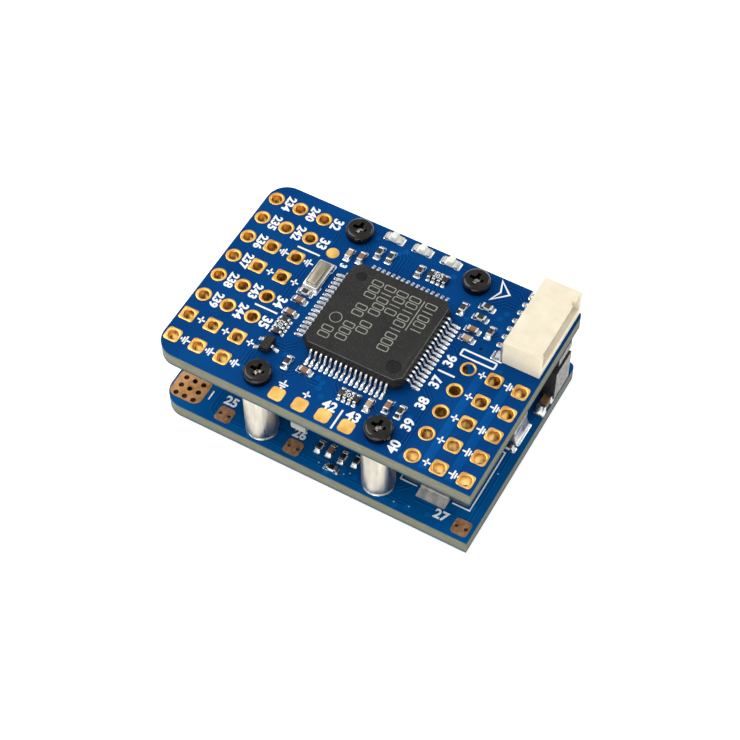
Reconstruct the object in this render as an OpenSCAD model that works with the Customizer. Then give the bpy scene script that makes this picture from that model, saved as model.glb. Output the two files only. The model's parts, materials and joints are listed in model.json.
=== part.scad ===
// Two-board flight controller: a processor board on four posts above a power board.
// The origin is the middle of the power board's underside. +X runs along the long side
// towards the servo pads, +Y towards the status lights, and +Z up.

/* [Boards] */
// Length of both boards
board_l = 31.5; // [31.5:0.1:40]
// Width of both boards
board_w = 21.7; // [21.7:0.1:28]
// Thickness of each board
board_t = 1.6; // [1.2:0.1:2]
// Radius of the two corners at the wire end
corner_r = 2; // [1:0.1:3]
// Radius of the back corner at the servo end
small_corner_r = 0.6; // [0.3:0.1:1.5]
// Clear height between the boards
stack_gap = 6.4; // [6:0.1:9]

/* [Posts and screws] */
// Distance between the screws along the board
screw_sx = 12; // [12:0.1:14]
// Distance between the screws across the board
screw_sy = 18; // [18:0.1:19]
// Nominal thread diameter
thread_d = 1.4; // [1.2:0.1:1.8]
// Diameter of the screw heads
head_d = 2.6; // [2.4:0.1:3]
// Height of the screw heads
head_h = 0.9; // [0.7:0.1:1.2]
// How far the screws reach into the posts
screw_bite = 2.8; // [2:0.1:4]
// Diameter of the posts
post_d = 3.1; // [2.8:0.1:3.8]
// Diameter of the spigot that locates a post in the power board
spigot_d = 2.2; // [2:0.1:2.6]

/* [Plated pads] */
// Spacing of the wire and servo pads
pad_pitch = 2.54; // [2:0.01:2.6]
// Outer size of a pad
pad_size = 1.5; // [1.3:0.05:1.7]
// Hole in the wire pads at the left
wire_hole_d = 0.9; // [0.7:0.05:1]
// Hole in the servo pads at the right
servo_hole_d = 1; // [0.8:0.05:1.1]
// Distance from the wire end to its first column of pads
wire_inset = 0.95; // [0.9:0.05:1.5]
// Distance from the servo end to its last column of pads
servo_inset_x = 1; // [0.9:0.05:1.5]
// Distance from the front edge to the first row of servo pads
servo_inset_y = 1.15; // [1:0.05:2]
// Spacing of the four pads on the front edge
edge_pad_pitch = 2.3; // [1.8:0.1:2.5]
// Size of the pads on the front edge
edge_pad_size = 1.35; // [1:0.05:1.5]

/* [Processor] */
// Side of the processor's moulded body
mcu_body = 10; // [8.5:0.1:12]
// Height of the moulded body
mcu_h = 1.4; // [1:0.1:1.6]
// Distance that the leads stand out of the body
mcu_lead_out = 1; // [0.8:0.1:1.2]
// Spacing of the processor's leads
mcu_pitch = 0.5; // [0.4:0.05:0.5]

/* [Cable socket] */
// Number of contacts in the cable socket
cable_ways = 6; // [4:1:7]
// Spacing of the contacts
cable_pitch = 1; // [0.8:0.1:1]
// Height of the cable socket
cable_h = 2.95; // [2.6:0.05:3.5]
// Depth of the cable socket from back to mouth
cable_depth = 3.65; // [3.4:0.05:4.2]

/* [Link between the boards] */
// Number of pin pairs in the link
link_pairs = 6; // [3:1:6]
// Spacing of the link's pins
link_pitch = 1.27; // [1:0.01:1.27]
// Height of the link's socket
link_socket_h = 4.2; // [3.5:0.1:4.4]
// Width of the link's socket
link_socket_w = 3; // [2.8:0.1:3.4]
// Depth that the link's pins reach into the socket
link_reach = 2.6; // [2:0.1:3]

/* [Power parts] */
// Side of the larger choke
choke_side = 6.6; // [5:0.1:6.8]
// Height of the larger choke
choke_h = 3; // [2:0.1:4]
// Width of the choke's terminals
choke_terminal_w = 2.8; // [2:0.1:3.2]
// Side of the smaller choke
small_choke_side = 4.2; // [3:0.1:4.6]
// Height of the smaller choke
small_choke_h = 2; // [1.5:0.1:3]

/* [Boot button] */
// Width of the button's body
button_w = 3.5; // [3.2:0.1:4.2]
// Depth of the button's body
button_depth = 2.6; // [2.4:0.1:3]
// Height of the button's body
button_h = 1.35; // [1.3:0.05:1.6]
// Width of the part that is pressed
plunger_w = 1.5; // [1.2:0.1:1.8]
// Travel of the part that is pressed
button_travel = 0.2; // [0.15:0.05:0.25]

/* [Hidden] */
$fn = 48;
eps = 0.01;
fit = 0.05;

// Levels
lower_top = board_t;
upper_low = board_t + stack_gap;
upper_top = upper_low + board_t;

// Edges of the boards
left = -board_l / 2;
right = board_l / 2;
front = -board_w / 2;
back = board_w / 2;

// Plating
pad_t = 0.04;
plating = 0.04;
soft_r = 0.35;
square_size = pad_size - 0.05;
left_kinds = ["rrrrrrsq", "rrqsrrsq", "rrqsrrsq"];
right_kinds = ["rrrrr", "qqqqq", "qqqqq"];
edge_pad_inset = 0.95;
edge_pad_x = -0.1;
edge_pad_y = front + edge_pad_inset;
edge_pad_count = 4;
test_pad = [-7.05, 5.85];
test_pad_d = 1.2;
link_via = [9.6, 2.95];
link_via_d = 0.3;

// Screws and posts
screw_clear = 0.1;
thread_fit = 0.02;
thread_relief = 0.6;

// Processor: place, body and leads
mcu_x = 0.75;
mcu_y = 0.2;
mcu_lift = 0.08;
mcu_corner = 0.6;
mcu_side_leads = 16;
mcu_lead_w = 0.22;
mcu_lead_t = 0.13;
mcu_foot = 0.5;
mcu_left = mcu_x - mcu_body / 2 - mcu_lead_out;
mcu_right = mcu_x + mcu_body / 2 + mcu_lead_out;
mcu_front = mcu_y - mcu_body / 2 - mcu_lead_out;
mcu_back = mcu_y + mcu_body / 2 + mcu_lead_out;

// Small chips: length, width and height, and the length of each tinned end
chip_l = 1;
chip_w = 0.5;
chip_h = 0.4;
chip_cap = 0.22;
cap_grow = 0.015;
array_l = 2;
array_w = 1;
array_h = 0.4;
array_ways = 4;
array_pitch = 0.5;

// Each chip is [x, y, turn, kind]: kind r is a resistor, t a tan and b a brown capacitor.
chips_left = [[-1.68, 0.51, 0, "r"], [-1.68, -0.49, 0, "b"], [-1.68, -2.09, 0, "b"]];
chips_back = [
    [-5.23, 0.41, 90, "b"], [-4.08, 1.71, 90, "r"], [-2.93, 1.71, 90, "r"], [0.13, 1.61, 90, "r"]
];
chips_front = [[-5.18, -0.79, 90, "r"], [-3.38, -0.89, 0, "b"], [3.23, -1.29, 90, "t"]];
// These three stand between the processor and a screw, and keep clear of its head
near_screw = screw_sy / 2 - head_d / 2 - chip_l / 2 - 0.1;
chips_by_screws = [
    [mcu_x - 6.38, min(mcu_back + 0.21, near_screw), 90, "t"],
    [mcu_x + 4.73, max(mcu_front - 0.59, -near_screw), 90, "b"],
    [mcu_x + 5.93, max(mcu_front - 0.59, -near_screw), 90, "r"]
];
chips_right = [
    [1.33, 6.91, 0, "r"], [1.33, 5.61, 0, "r"], [2.83, 4.61, 90, "r"], [1.33, 4.11, 0, "b"],
    [1.33, 3.01, 0, "t"], [-0.53, 5.81, 90, "r"]
];
chips_upper = concat(
    chips_by_screws,
    [for (c = chips_left) [mcu_left + c[0], mcu_y + c[1], c[2], c[3]]],
    [for (c = chips_back) [mcu_x + c[0], mcu_back + c[1], c[2], c[3]]],
    [for (c = chips_front) [mcu_x + c[0], mcu_front + c[1], c[2], c[3]]],
    [for (c = chips_right) [mcu_right + c[0], mcu_y + c[1], c[2], c[3]]]
);
chips_lower_front = [
    [-0.3, 2.4, 90, "r"], [0.8, 2.5, 90, "b"], [2.1, 2.4, 90, "r"], [3.35, 2.65, 90, "r"],
    [1.75, 0.9, 0, "r"]
];
chips_lower = concat(
    [for (c = chips_lower_front) [c[0], front + c[1], c[2], c[3]]],
    [[right - 1.35, -0.28, 0, "r"], [-8.2, 5, 90, "b"], [-8.2, 3.4, 90, "r"], [-0.4, -6.2, 90, "b"]]
);
arrays = [
    [mcu_x + 1.93, mcu_back + 1.71, 0], [mcu_left - 1.68, mcu_y - 3.75, 90],
    [mcu_x + 1.33, mcu_front - 1.39, 0]
];

// Crystals: [x, y, turn, length, width], the first above and the second below the board
crystal_h = 0.5;
lid_h = 0.28;
lid_rim = 0.14;
crystal_above = [mcu_left - 1.53, mcu_y + 2.61, 90, 3.2, 1.5];
crystal_below = [-7, 4.6, 0, 3.2, 2.5];

// Status lights
light_count = 3;
light_pitch = 2.9;
light_l = 1.6;
light_w = 0.8;
light_base_h = 0.25;
light_lens_h = 0.4;
light_lens_l = 1;
light_end = 0.28;
light_inset = 0.8;

// Transistor
transistor_at = [mcu_left - 1.58, mcu_front - 0.2];
transistor_l = 1.6;
transistor_w = 0.9;
transistor_h = 0.8;
transistor_lift = 0.05;
transistor_pitch = 1;
transistor_lead_out = 0.42;
transistor_foot = 0.2;
transistor_lead_w = 0.3;
transistor_lead_t = 0.12;

// Cable socket: walls, mouth, contacts and tabs
cable_end = 1.6;
cable_len = (cable_ways - 1) * cable_pitch + 2 * cable_end;
cable_gap_x = 0.25;
cable_gap_y = 0.14;
cable_x = right - cable_gap_x;
cable_y = back - cable_gap_y - cable_len / 2;
cable_wall = 0.45;
cable_floor = 1;
cable_roof = 0.42;
cable_room = 2.7;
cable_roof_cut = 0.2;
cable_notch_w = 0.5;
cable_contact_w = 0.24;
cable_contact_t = 0.2;
cable_tail = 0.95;
cable_contact_z = 1.55;
tab_t = 0.2;
tab_w = 0.8;
tab_h = 2.3;
tab_foot = 0.5;

// Link: socket on the power board, pin header under the processor board
link_len = link_pairs * link_pitch + 0.1;
link_x = right - link_len / 2;
link_clear = 0.2;
link_inside_post = screw_sy / 2 - post_d / 2 - link_clear - link_socket_w / 2;
// The link lies beside the back post, and in front of it where the post stands over its end
link_meets_post = screw_sx / 2 + post_d / 2 + link_clear > right - link_len;
link_y = link_meets_post ? link_inside_post : 7.7;
link_base_h = 1.2;
link_base_w = 2.6;
link_pin = 0.4;
link_hole = 0.5;
link_foot = 0.85;
link_foot_t = 0.2;

// Small chips under the processor board, kept clear of the link
chips_under = [
    [-7.2, -0.9, 90, "b"], [-7.2, 1, 90, "b"], [-1.4, -1.3, 90, "b"], [7.4, 3.2, 0, "b"],
    [8.4, link_y - link_socket_w / 2 - 1.5, 90, "r"], [3.6, -7.4, 0, "b"],
    [-screw_sx / 2 - 2.3, 7.2, 90, "r"], [2.9, -8.8, 0, "r"]
];

// Boot button, seen from above
button_x = -1.05;
button_back = 0.8;
button_wall = 0.3;
button_cover_t = 0.12;
plunger_out = 0.7;
plunger_flange = 0.35;
plunger_flange_t = 0.4;
leaf_t = 0.08;

// Power board: pads, and parts placed by [x, y, turn]
battery_pad_l = 3.3;
battery_pad_w = 3.1;
battery_pad_inset = 0.75;
battery_pad_end = 0.2;
battery_via_shift = 0.24;
via_d = 0.5;
via_pitch = 0.92;
via_count = 3;
servo_pad_size = 1.6;
servo_pad_inset = 1.2;
servo_pad_x = [-9.6, -2.4, right - 1.15];
servo_via_d = 0.35;
servo_via_gap = 0.9;
choke_at = [right - 4.75, front + 6.5];
small_choke_at = [-3.4, 4.6];
choke_terminal_t = 0.2;
choke_terminal_h = 0.6;
choke_terminal_under = 0.8;
choke_lift = 0.05;
bulk_l = 3.2;
bulk_w = 2.5;
bulk_h = 2.4;
bulk_cap = 0.45;
bulk_by_link = min(1.6, link_y - link_socket_w / 2 - 2.95);
bulk_at = [[right - 2.65, bulk_by_link, 0], [7.6, 1.6, 0], [2.9, 2.2, 90], [-11.9, 5.2, 90]];
small_bulk_l = 1.6;
small_bulk_w = 0.8;
small_bulk_cap = 0.3;
small_bulk_at = [[right - 0.55, link_y - link_socket_w / 2 - 0.85, 90], [-7.9, -3.6, 90], [-7.9, -6, 90]];
shunt_at = [-12, 0];
shunt_l = 6.4;
shunt_w = 3.2;
shunt_h = 0.6;
shunt_end = 1.4;

// ---------- shapes used more than once ----------

module soft_square(size, r) {
    square([size, size - 2 * r], center = true);
    square([size - 2 * r, size], center = true);
    for (x = [-1, 1], y = [-1, 1]) translate([x, y] * (size / 2 - r)) circle(r);
}

module soft_rect(l, w, r) {
    square([l, w - 2 * r], center = true);
    square([l - 2 * r, w], center = true);
    for (x = [-1, 1], y = [-1, 1]) translate([x * (l / 2 - r), y * (w / 2 - r)]) circle(r);
}

// Board outline: two round corners at the wire end, one small one at the servo end
module outline() {
    translate([left, front + corner_r]) square([board_l, board_w - 2 * corner_r]);
    translate([left + corner_r, front]) square([board_l - corner_r, board_w - small_corner_r]);
    translate([left + corner_r, front]) square([board_l - corner_r - small_corner_r, board_w]);
    for (y = [front + corner_r, back - corner_r]) translate([left + corner_r, y]) circle(corner_r);
    translate([right - small_corner_r, back - small_corner_r]) circle(small_corner_r);
}

module at_screws() {
    for (x = [-1, 1], y = [-1, 1]) translate([x * screw_sx / 2, y * screw_sy / 2, 0]) children();
}

function wire_xy(c, r) = [left + wire_inset + c * pad_pitch, (3.5 - r) * pad_pitch];
function servo_xy(c, r) =
    [right - servo_inset_x - (2 - c) * pad_pitch, front + servo_inset_y + r * pad_pitch];

wire_pads = [for (c = [0:2], r = [0:7]) [wire_xy(c, r), left_kinds[c][r], wire_hole_d]];
servo_holes = [for (c = [0:2], r = [0:4]) [servo_xy(c, r), right_kinds[c][r], servo_hole_d]];
plated = concat(wire_pads, servo_holes);

module pad_face(kind) {
    if (kind == "r") circle(d = pad_size);
    if (kind == "s") square(square_size, center = true);
    if (kind == "q") soft_square(square_size, soft_r);
}

// Pads of one shape, each with a flange on both faces and a plated barrel through the board
module plated_pads(kind) {
    for (p = plated) if (p[1] == kind) translate([p[0][0], p[0][1], upper_low]) difference() {
        union() {
            translate([0, 0, -pad_t]) linear_extrude(pad_t) pad_face(kind);
            translate([0, 0, board_t]) linear_extrude(pad_t) pad_face(kind);
            cylinder(d = p[2] + 2 * plating, h = board_t);
        }
        translate([0, 0, -1]) cylinder(d = p[2], h = board_t + 2);
    }
}

// A bent lead that leaves a body at height h and stands on a foot at height 0, along +X
module gull_lead(out, h, foot, w, t) {
    knee = (out - foot) * 0.45;
    rotate([90, 0, 0]) linear_extrude(w, center = true) polygon([
        [0, h], [0, h + t], [knee, h + t], [out - foot, t], [out, t], [out, 0],
        [out - foot - t * 0.8, 0], [knee - t * 0.5, h]
    ]);
}

// A row of leads along Y, centred, that leave a body at x = 0
module lead_row(n, pitch, out, h, foot, w, t) {
    for (i = [0:n - 1]) translate([0, (i - (n - 1) / 2) * pitch, 0]) gull_lead(out, h, foot, w, t);
}

// A moulded package: widest at its parting line and drawn in above and below it
module package(l, w, h, lift, draft, corner) {
    mid = lift + h * 0.5;
    module layer(z, inset) {
        translate([0, 0, z]) linear_extrude(eps) polygon([
            for (q = [[1, 1, 0, 1], [-1, 1, 1, 0], [-1, -1, 0, 1], [1, -1, 1, 0]]) each [
                [q[0] * (l / 2 - inset - corner * q[2]), q[1] * (w / 2 - inset - corner * q[3])],
                [q[0] * (l / 2 - inset - corner * q[3]), q[1] * (w / 2 - inset - corner * q[2])]
            ]
        ]);
    }
    hull() {
        layer(lift, draft);
        layer(mid - eps, 0);
    }
    hull() {
        layer(mid - eps, 0);
        layer(lift + h - eps, draft);
    }
}

// The middle of a small chip between its tinned ends
module chip_middle(l, w, h, end) {
    translate([-l / 2 + end, -w / 2, 0]) cube([l - 2 * end, w, h]);
}

module small_chip() { chip_middle(chip_l, chip_w, chip_h, chip_cap); }

// The tinned ends of a small chip, a little larger than the body
module chip_ends(l, w, h, end) {
    for (s = [-1, 1]) translate([s * (l / 2 - end / 2), 0, (h + cap_grow) / 2])
        cube([end, w + 2 * cap_grow, h + cap_grow], center = true);
}

// Places its children on each chip of one kind: above, on the power board, and hung below
module at_chips(kinds) {
    for (c = chips_upper) if (len(search(c[3], kinds)) > 0)
        translate([c[0], c[1], upper_top]) rotate(c[2]) children();
    for (c = chips_lower) if (len(search(c[3], kinds)) > 0)
        translate([c[0], c[1], lower_top]) rotate(c[2]) children();
    for (c = chips_under) if (len(search(c[3], kinds)) > 0)
        translate([c[0], c[1], upper_low]) rotate(c[2]) mirror([0, 0, 1]) children();
}

// ---------- processor board ----------

module upper_board() {
    color("#0d4a94") difference() {
        translate([0, 0, upper_low]) linear_extrude(board_t) outline();
        for (p = plated) translate([p[0][0], p[0][1], upper_low - 1])
            cylinder(d = p[2] + 2 * plating, h = board_t + 2);
        translate([0, 0, upper_low - 1]) at_screws()
            cylinder(d = thread_d + 2 * screw_clear, h = board_t + 2);
        translate([link_via[0], link_via[1], upper_low - 1]) cylinder(d = link_via_d, h = board_t + 2);
    }
}

module round_pads() { color("#d9a94a") plated_pads("r"); }
module square_pads() { color("#d9a94a") plated_pads("s"); }
module soft_square_pads() { color("#d9a94a") plated_pads("q"); }

module edge_pads() {
    color("#d9a94a") translate([0, 0, upper_top]) {
        for (i = [0:edge_pad_count - 1])
            translate([edge_pad_x + (i - (edge_pad_count - 1) / 2) * edge_pad_pitch, edge_pad_y, 0])
                linear_extrude(pad_t) soft_square(edge_pad_size, soft_r);
        translate([test_pad[0], test_pad[1], 0]) cylinder(d = test_pad_d, h = pad_t);
    }
}

module processor_body() {
    dot = mcu_body / 2 - 1.4;
    color("#37383a") translate([mcu_x, mcu_y, upper_top]) difference() {
        package(mcu_body, mcu_body, mcu_h, mcu_lift, 0.12, mcu_corner);
        translate([-dot, dot, mcu_lift + mcu_h - 0.05]) cylinder(d = 1, h = 1);
        translate([dot, -dot, mcu_lift + mcu_h - 0.05]) cylinder(d = 1.4, h = 1);
    }
}

module processor_leads() {
    h = mcu_lift + mcu_h / 2 - mcu_lead_t / 2;
    color("#c9ccce") translate([mcu_x, mcu_y, upper_top]) for (a = [0:90:270]) rotate(a)
        translate([mcu_body / 2, 0, 0])
            lead_row(mcu_side_leads, mcu_pitch, mcu_lead_out, h, mcu_foot, mcu_lead_w, mcu_lead_t);
}

module crystal_base(c) { translate([-c[3] / 2, -c[4] / 2, 0]) cube([c[3], c[4], crystal_h]); }

module crystal_lid(c) {
    l = c[3] - 2 * lid_rim;
    w = c[4] - 2 * lid_rim;
    translate([0, 0, crystal_h]) linear_extrude(lid_h) soft_rect(l, w, 0.15);
}

module at_crystals() {
    translate([crystal_above[0], crystal_above[1], upper_top]) rotate(crystal_above[2]) children(0);
    under(crystal_below[0], crystal_below[1]) rotate(crystal_below[2]) children(1);
}

module crystal_bases() {
    color("#e4dcc4") at_crystals() {
        crystal_base(crystal_above);
        crystal_base(crystal_below);
    }
}

module crystal_lids() {
    color("#b9b4a8") at_crystals() {
        crystal_lid(crystal_above);
        crystal_lid(crystal_below);
    }
}

module at_lights() {
    for (i = [0:light_count - 1])
        translate([(i - (light_count - 1) / 2) * light_pitch, back - light_inset, upper_top]) children();
}

module status_light_bases() {
    color("#f2efe6") at_lights() translate([-light_l / 2 + light_end, -light_w / 2, 0])
        cube([light_l - 2 * light_end, light_w, light_base_h]);
}

module status_light_lenses() {
    top_l = light_lens_l - 0.16;
    top_w = light_w - 0.1;
    color("#f7f6ea") at_lights() translate([0, 0, light_base_h]) hull() {
        linear_extrude(eps) square([light_lens_l, light_w], center = true);
        translate([0, 0, light_lens_h - eps]) linear_extrude(eps) square([top_l, top_w], center = true);
    }
}

module status_light_terminals() {
    color("#d8c48a") at_lights() for (s = [-1, 1])
        translate([s * (light_l / 2 - light_end / 2), 0, light_base_h / 2])
            cube([light_end, light_w, light_base_h], center = true);
}

module resistor_bodies() { color("#1e1e20") at_chips("r") small_chip(); }
module tan_capacitor_bodies() { color("#a98f68") at_chips("t") small_chip(); }
module brown_capacitor_bodies() { color("#7d573a") at_chips("b") small_chip(); }
module chip_end_caps() { color("#d4d6d8") at_chips("rtb") chip_ends(chip_l, chip_w, chip_h, chip_cap); }

module at_arrays() { for (a = arrays) translate([a[0], a[1], upper_top]) rotate(a[2]) children(); }

// The terminals stand along both long sides of the body
module resistor_array_bodies() {
    color("#1e1e20") at_arrays() translate([-array_l / 2, -array_w / 2 + chip_cap, 0])
        cube([array_l, array_w - 2 * chip_cap, array_h]);
}

module resistor_array_terminals() {
    color("#d4d6d8") at_arrays() for (i = [0:array_ways - 1], s = [-1, 1])
        translate([(i - (array_ways - 1) / 2) * array_pitch, s * (array_w / 2 - chip_cap / 2), array_h / 2])
            cube([array_pitch * 0.62, chip_cap, array_h], center = true);
}

module transistor_body() {
    color("#232325") translate([transistor_at[0], transistor_at[1], upper_top]) rotate(90)
        package(transistor_l, transistor_w, transistor_h - transistor_lift, transistor_lift, 0.06, 0.02);
}

// One lead towards the processor and two on the other side
module transistor_leads() {
    h = (transistor_lift + transistor_h - transistor_lead_t) / 2;
    color("#c9ccce") translate([transistor_at[0], transistor_at[1], upper_top]) for (n = [1, 2])
        rotate(180 * (n - 1)) translate([transistor_w / 2, 0, 0])
            lead_row(n, transistor_pitch, transistor_lead_out, h, transistor_foot, transistor_lead_w,
                transistor_lead_t);
}

// ---------- cable socket ----------

module at_cable() { translate([cable_x, cable_y, upper_top]) children(); }

// The mouth faces +X. The roof is cut back in front, with a key notch near the far end.
module cable_socket_housing() {
    room_w = cable_len - 2 * cable_wall;
    color("#f3ead3") at_cable() difference() {
        translate([-cable_depth, -cable_len / 2, 0]) cube([cable_depth, cable_len, cable_h]);
        translate([-cable_room, -room_w / 2, cable_floor])
            cube([cable_room + 1, room_w, cable_h - cable_floor - cable_roof]);
        translate([-cable_roof_cut, -room_w / 2, cable_h - cable_roof - eps])
            cube([1, room_w, cable_roof + 1]);
        translate([-2 * cable_roof_cut, room_w / 2 - 1.2, cable_h - cable_roof - eps])
            cube([1, cable_notch_w, cable_roof + 1]);
        for (i = [0:cable_ways - 1]) translate([-cable_depth - 1, cable_contact_y(i) - cable_contact_w / 2,
                cable_contact_z - cable_contact_t / 2])
            cube([cable_depth - cable_room + 1 + eps, cable_contact_w, cable_contact_t]);
    }
}

function cable_contact_y(i) = (i - (cable_ways - 1) / 2) * cable_pitch;

// Each contact is a pin in the mouth that runs out of the back and bends down to a foot
module cable_socket_contacts() {
    z = cable_contact_z;
    t = cable_contact_t;
    color("#d5d1c4") at_cable() for (i = [0:cable_ways - 1]) translate([0, cable_contact_y(i), 0])
        rotate([90, 0, 0]) linear_extrude(cable_contact_w, center = true) polygon([
            [-0.7, z - t / 2], [-0.6, z], [-0.7, z + t / 2], [-cable_depth - 0.3, z + t / 2],
            [-cable_depth - 0.55, z - 0.1], [-cable_depth - 0.6, t], [-cable_depth - cable_tail, t],
            [-cable_depth - cable_tail, 0], [-cable_depth - 0.35, 0], [-cable_depth - 0.3, z - t / 2]
        ]);
}

// A tab grips each end of the housing at the back and is soldered to the board
module cable_socket_tabs() {
    color("#bfc0bd") at_cable() for (s = [-1, 1]) translate([-cable_depth, s * (cable_len - tab_w) / 2, 0]) {
        translate([-tab_t / 2, 0, tab_h / 2]) cube([tab_t, tab_w, tab_h], center = true);
        translate([-tab_t - tab_foot / 2, 0, tab_t / 2]) cube([tab_foot, tab_w, tab_t], center = true);
    }
}

// ---------- screws and posts ----------

// Flat-topped head with a rounded rim and a cross recess
module screw() {
    rim = 0.32;
    side = head_h - rim;
    cross = head_d * 0.52;
    slot = 0.34;
    translate([0, 0, upper_top]) difference() {
        union() {
            rotate_extrude() polygon(concat(
                [[0, 0], [head_d / 2 - 0.06, 0], [head_d / 2, 0.06], [head_d / 2, side]],
                [for (a = [15:15:90]) [head_d / 2 - rim * (1 - cos(a)), side + rim * sin(a)]],
                [[0, head_h]]
            ));
            translate([0, 0, -board_t - screw_bite]) cylinder(d = thread_d, h = board_t + screw_bite + eps);
        }
        for (a = [0, 90]) rotate(a) translate([-cross / 2, -slot / 2, head_h - 0.55]) cube([cross, slot, 1]);
        translate([0, 0, head_h - 0.62]) cylinder(d1 = slot, d2 = slot * 2.1, h = 0.7);
    }
}

module screws() { color("#1c1a1a") at_screws() screw(); }

// A tinned post, threaded from the top, with a solid spigot through the power board
module posts() {
    color("#dcd8cc") at_screws() difference() {
        union() {
            translate([0, 0, lower_top]) cylinder(d = post_d, h = stack_gap);
            cylinder(d = spigot_d, h = lower_top + eps);
        }
        translate([0, 0, upper_low - screw_bite - thread_relief])
            cylinder(d = thread_d + 2 * thread_fit, h = screw_bite + thread_relief + 1);
    }
}

// ---------- link between the boards ----------

module at_link() {
    for (i = [0:link_pairs - 1], s = [-0.5, 0.5])
        translate([link_x + (i - (link_pairs - 1) / 2) * link_pitch, link_y + s * link_pitch, 0]) children();
}

link_socket_top = lower_top + link_socket_h;
link_pin_end = link_socket_top - link_reach;

module at_link_holes(side, top, bottom) {
    at_link() translate([-side / 2, -side / 2, bottom]) cube([side, side, top - bottom]);
}

// Feet that lead outwards from both rows of the link, between the levels z and z + link_foot_t
module link_feet(z) {
    out = link_pitch / 2 + link_foot / 2;
    for (i = [0:link_pairs - 1], s = [-1, 1])
        translate([link_x + (i - (link_pairs - 1) / 2) * link_pitch, link_y + s * out, z + link_foot_t / 2])
            cube([link_pin, link_foot, link_foot_t], center = true);
}

module link_socket_housing() {
    color("#26262a") difference() {
        translate([link_x - link_len / 2, link_y - link_socket_w / 2, lower_top + link_foot_t])
            cube([link_len, link_socket_w, link_socket_h - link_foot_t]);
        at_link_holes(link_hole, link_socket_top + 1, lower_top);
    }
}

// A spring leaf stands in each hole beside its pin and is joined to a foot on the power board
module link_socket_contacts() {
    leaf = (link_hole - link_pin) / 2;
    leaf_h = link_socket_h - 0.6;
    color("#d9b35a") {
        at_link() translate([link_pin / 2, -link_pin / 2, lower_top]) cube([leaf, link_pin, leaf_h]);
        link_feet(lower_top);
    }
}

module link_header_base() {
    color("#3a3a3c") difference() {
        translate([link_x - link_len / 2, link_y - link_base_w / 2, upper_low - link_base_h])
            cube([link_len, link_base_w, link_base_h - link_foot_t]);
        at_link_holes(link_pin, upper_low, upper_low - link_base_h - 1);
    }
}

module link_header_pins() {
    color("#d9b35a") {
        at_link_holes(link_pin, upper_low, link_pin_end);
        link_feet(upper_low - link_foot_t);
    }
}

// ---------- parts under the processor board ----------

module under(x, y) { translate([x, y, upper_low]) mirror([0, 0, 1]) children(); }

motion_at = [-4.2, -1.4];
motion_l = 2.5;
motion_w = 3;
motion_h = 0.91;

module motion_sensor() {
    color("#2b2b2d") under(motion_at[0], motion_at[1]) translate([0, 0, motion_h / 2])
        cube([motion_l, motion_w, motion_h], center = true);
}

// Pressure sensor: a laminate base and a hollow lid with a port
pressure_at = [-7.5, -4.6];
pressure_l = 2;
pressure_w = 2.5;
pressure_base_h = 0.3;
pressure_lid_h = 0.65;
pressure_rim = 0.1;
pressure_wall = 0.12;
pressure_port = [0.4, 0.65];
pressure_port_d = 0.3;

module at_pressure_sensor() { under(pressure_at[0], pressure_at[1]) children(); }

module pressure_sensor_base() {
    color("#3b5e3a") at_pressure_sensor() translate([0, 0, pressure_base_h / 2])
        cube([pressure_l, pressure_w, pressure_base_h], center = true);
}

module pressure_sensor_lid() {
    l = pressure_l - 2 * pressure_rim;
    w = pressure_w - 2 * pressure_rim;
    room = pressure_lid_h - pressure_wall;
    color("#c6c4bd") at_pressure_sensor() translate([0, 0, pressure_base_h]) difference() {
        translate([-l / 2, -w / 2, 0]) cube([l, w, pressure_lid_h]);
        translate([pressure_wall - l / 2, pressure_wall - w / 2, -eps])
            cube([l - 2 * pressure_wall, w - 2 * pressure_wall, room + eps]);
        translate([pressure_port[0], pressure_port[1], room / 2]) cylinder(d = pressure_port_d, h = 1);
    }
}

video_at = [1.2, 4.2];
video_l = 9.7;
video_w = 4.4;
video_h = 1;
memory_at = [4, -3.4];
memory_l = 4.9;
memory_w = 3.9;
memory_h = 1.4;

module video_chip_body() {
    color("#2d2d2f") under(video_at[0], video_at[1]) package(video_l, video_w, video_h, 0.1, 0.08, 0.02);
}

module video_chip_leads() {
    h = 0.1 + video_h / 2 - 0.065;
    color("#c9ccce") under(video_at[0], video_at[1]) for (a = [90, 270]) rotate(a)
        translate([video_w / 2, 0, 0]) lead_row(14, 0.65, 1, h, 0.5, 0.24, 0.13);
}

module memory_chip_body() {
    color("#2d2d2f") under(memory_at[0], memory_at[1]) package(memory_l, memory_w, memory_h, 0.1, 0.1, 0.02);
}

module memory_chip_leads() {
    h = 0.1 + memory_h / 2 - 0.1;
    color("#c9ccce") under(memory_at[0], memory_at[1]) for (a = [90, 270]) rotate(a)
        translate([memory_w / 2, 0, 0]) lead_row(4, 1.27, 1.05, h, 0.5, 0.42, 0.2);
}

// Five-lead regulators: one under the processor board, two on the power board
regulator_l = 2.9;
regulator_w = 1.6;
regulator_h = 1.1;
regulator_under = [-4.6, -5.2];
regulators_on = [[-8.3, 0.4, 90], [-3.8, -3.6, 0]];

module at_regulators() {
    under(regulator_under[0], regulator_under[1]) children();
    for (r = regulators_on) translate([r[0], r[1], lower_top]) rotate(r[2]) children();
}

module regulator_bodies() {
    color("#232325") at_regulators() package(regulator_l, regulator_w, regulator_h, 0.08, 0.08, 0.02);
}

module regulator_leads() {
    h = 0.08 + regulator_h / 2 - 0.065;
    color("#c9ccce") at_regulators() {
        rotate(90) translate([regulator_w / 2, 0, 0]) lead_row(2, 1.9, 0.6, h, 0.3, 0.4, 0.13);
        rotate(270) translate([regulator_w / 2, 0, 0]) lead_row(3, 0.95, 0.6, h, 0.3, 0.4, 0.13);
    }
}

// ---------- boot button ----------

// Drawn upside down: z = 0 is the underside of the processor board, y = 0 the body's front
module at_button() { translate([button_x, front + button_back, upper_low]) mirror([0, 0, 1]) children(); }

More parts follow.
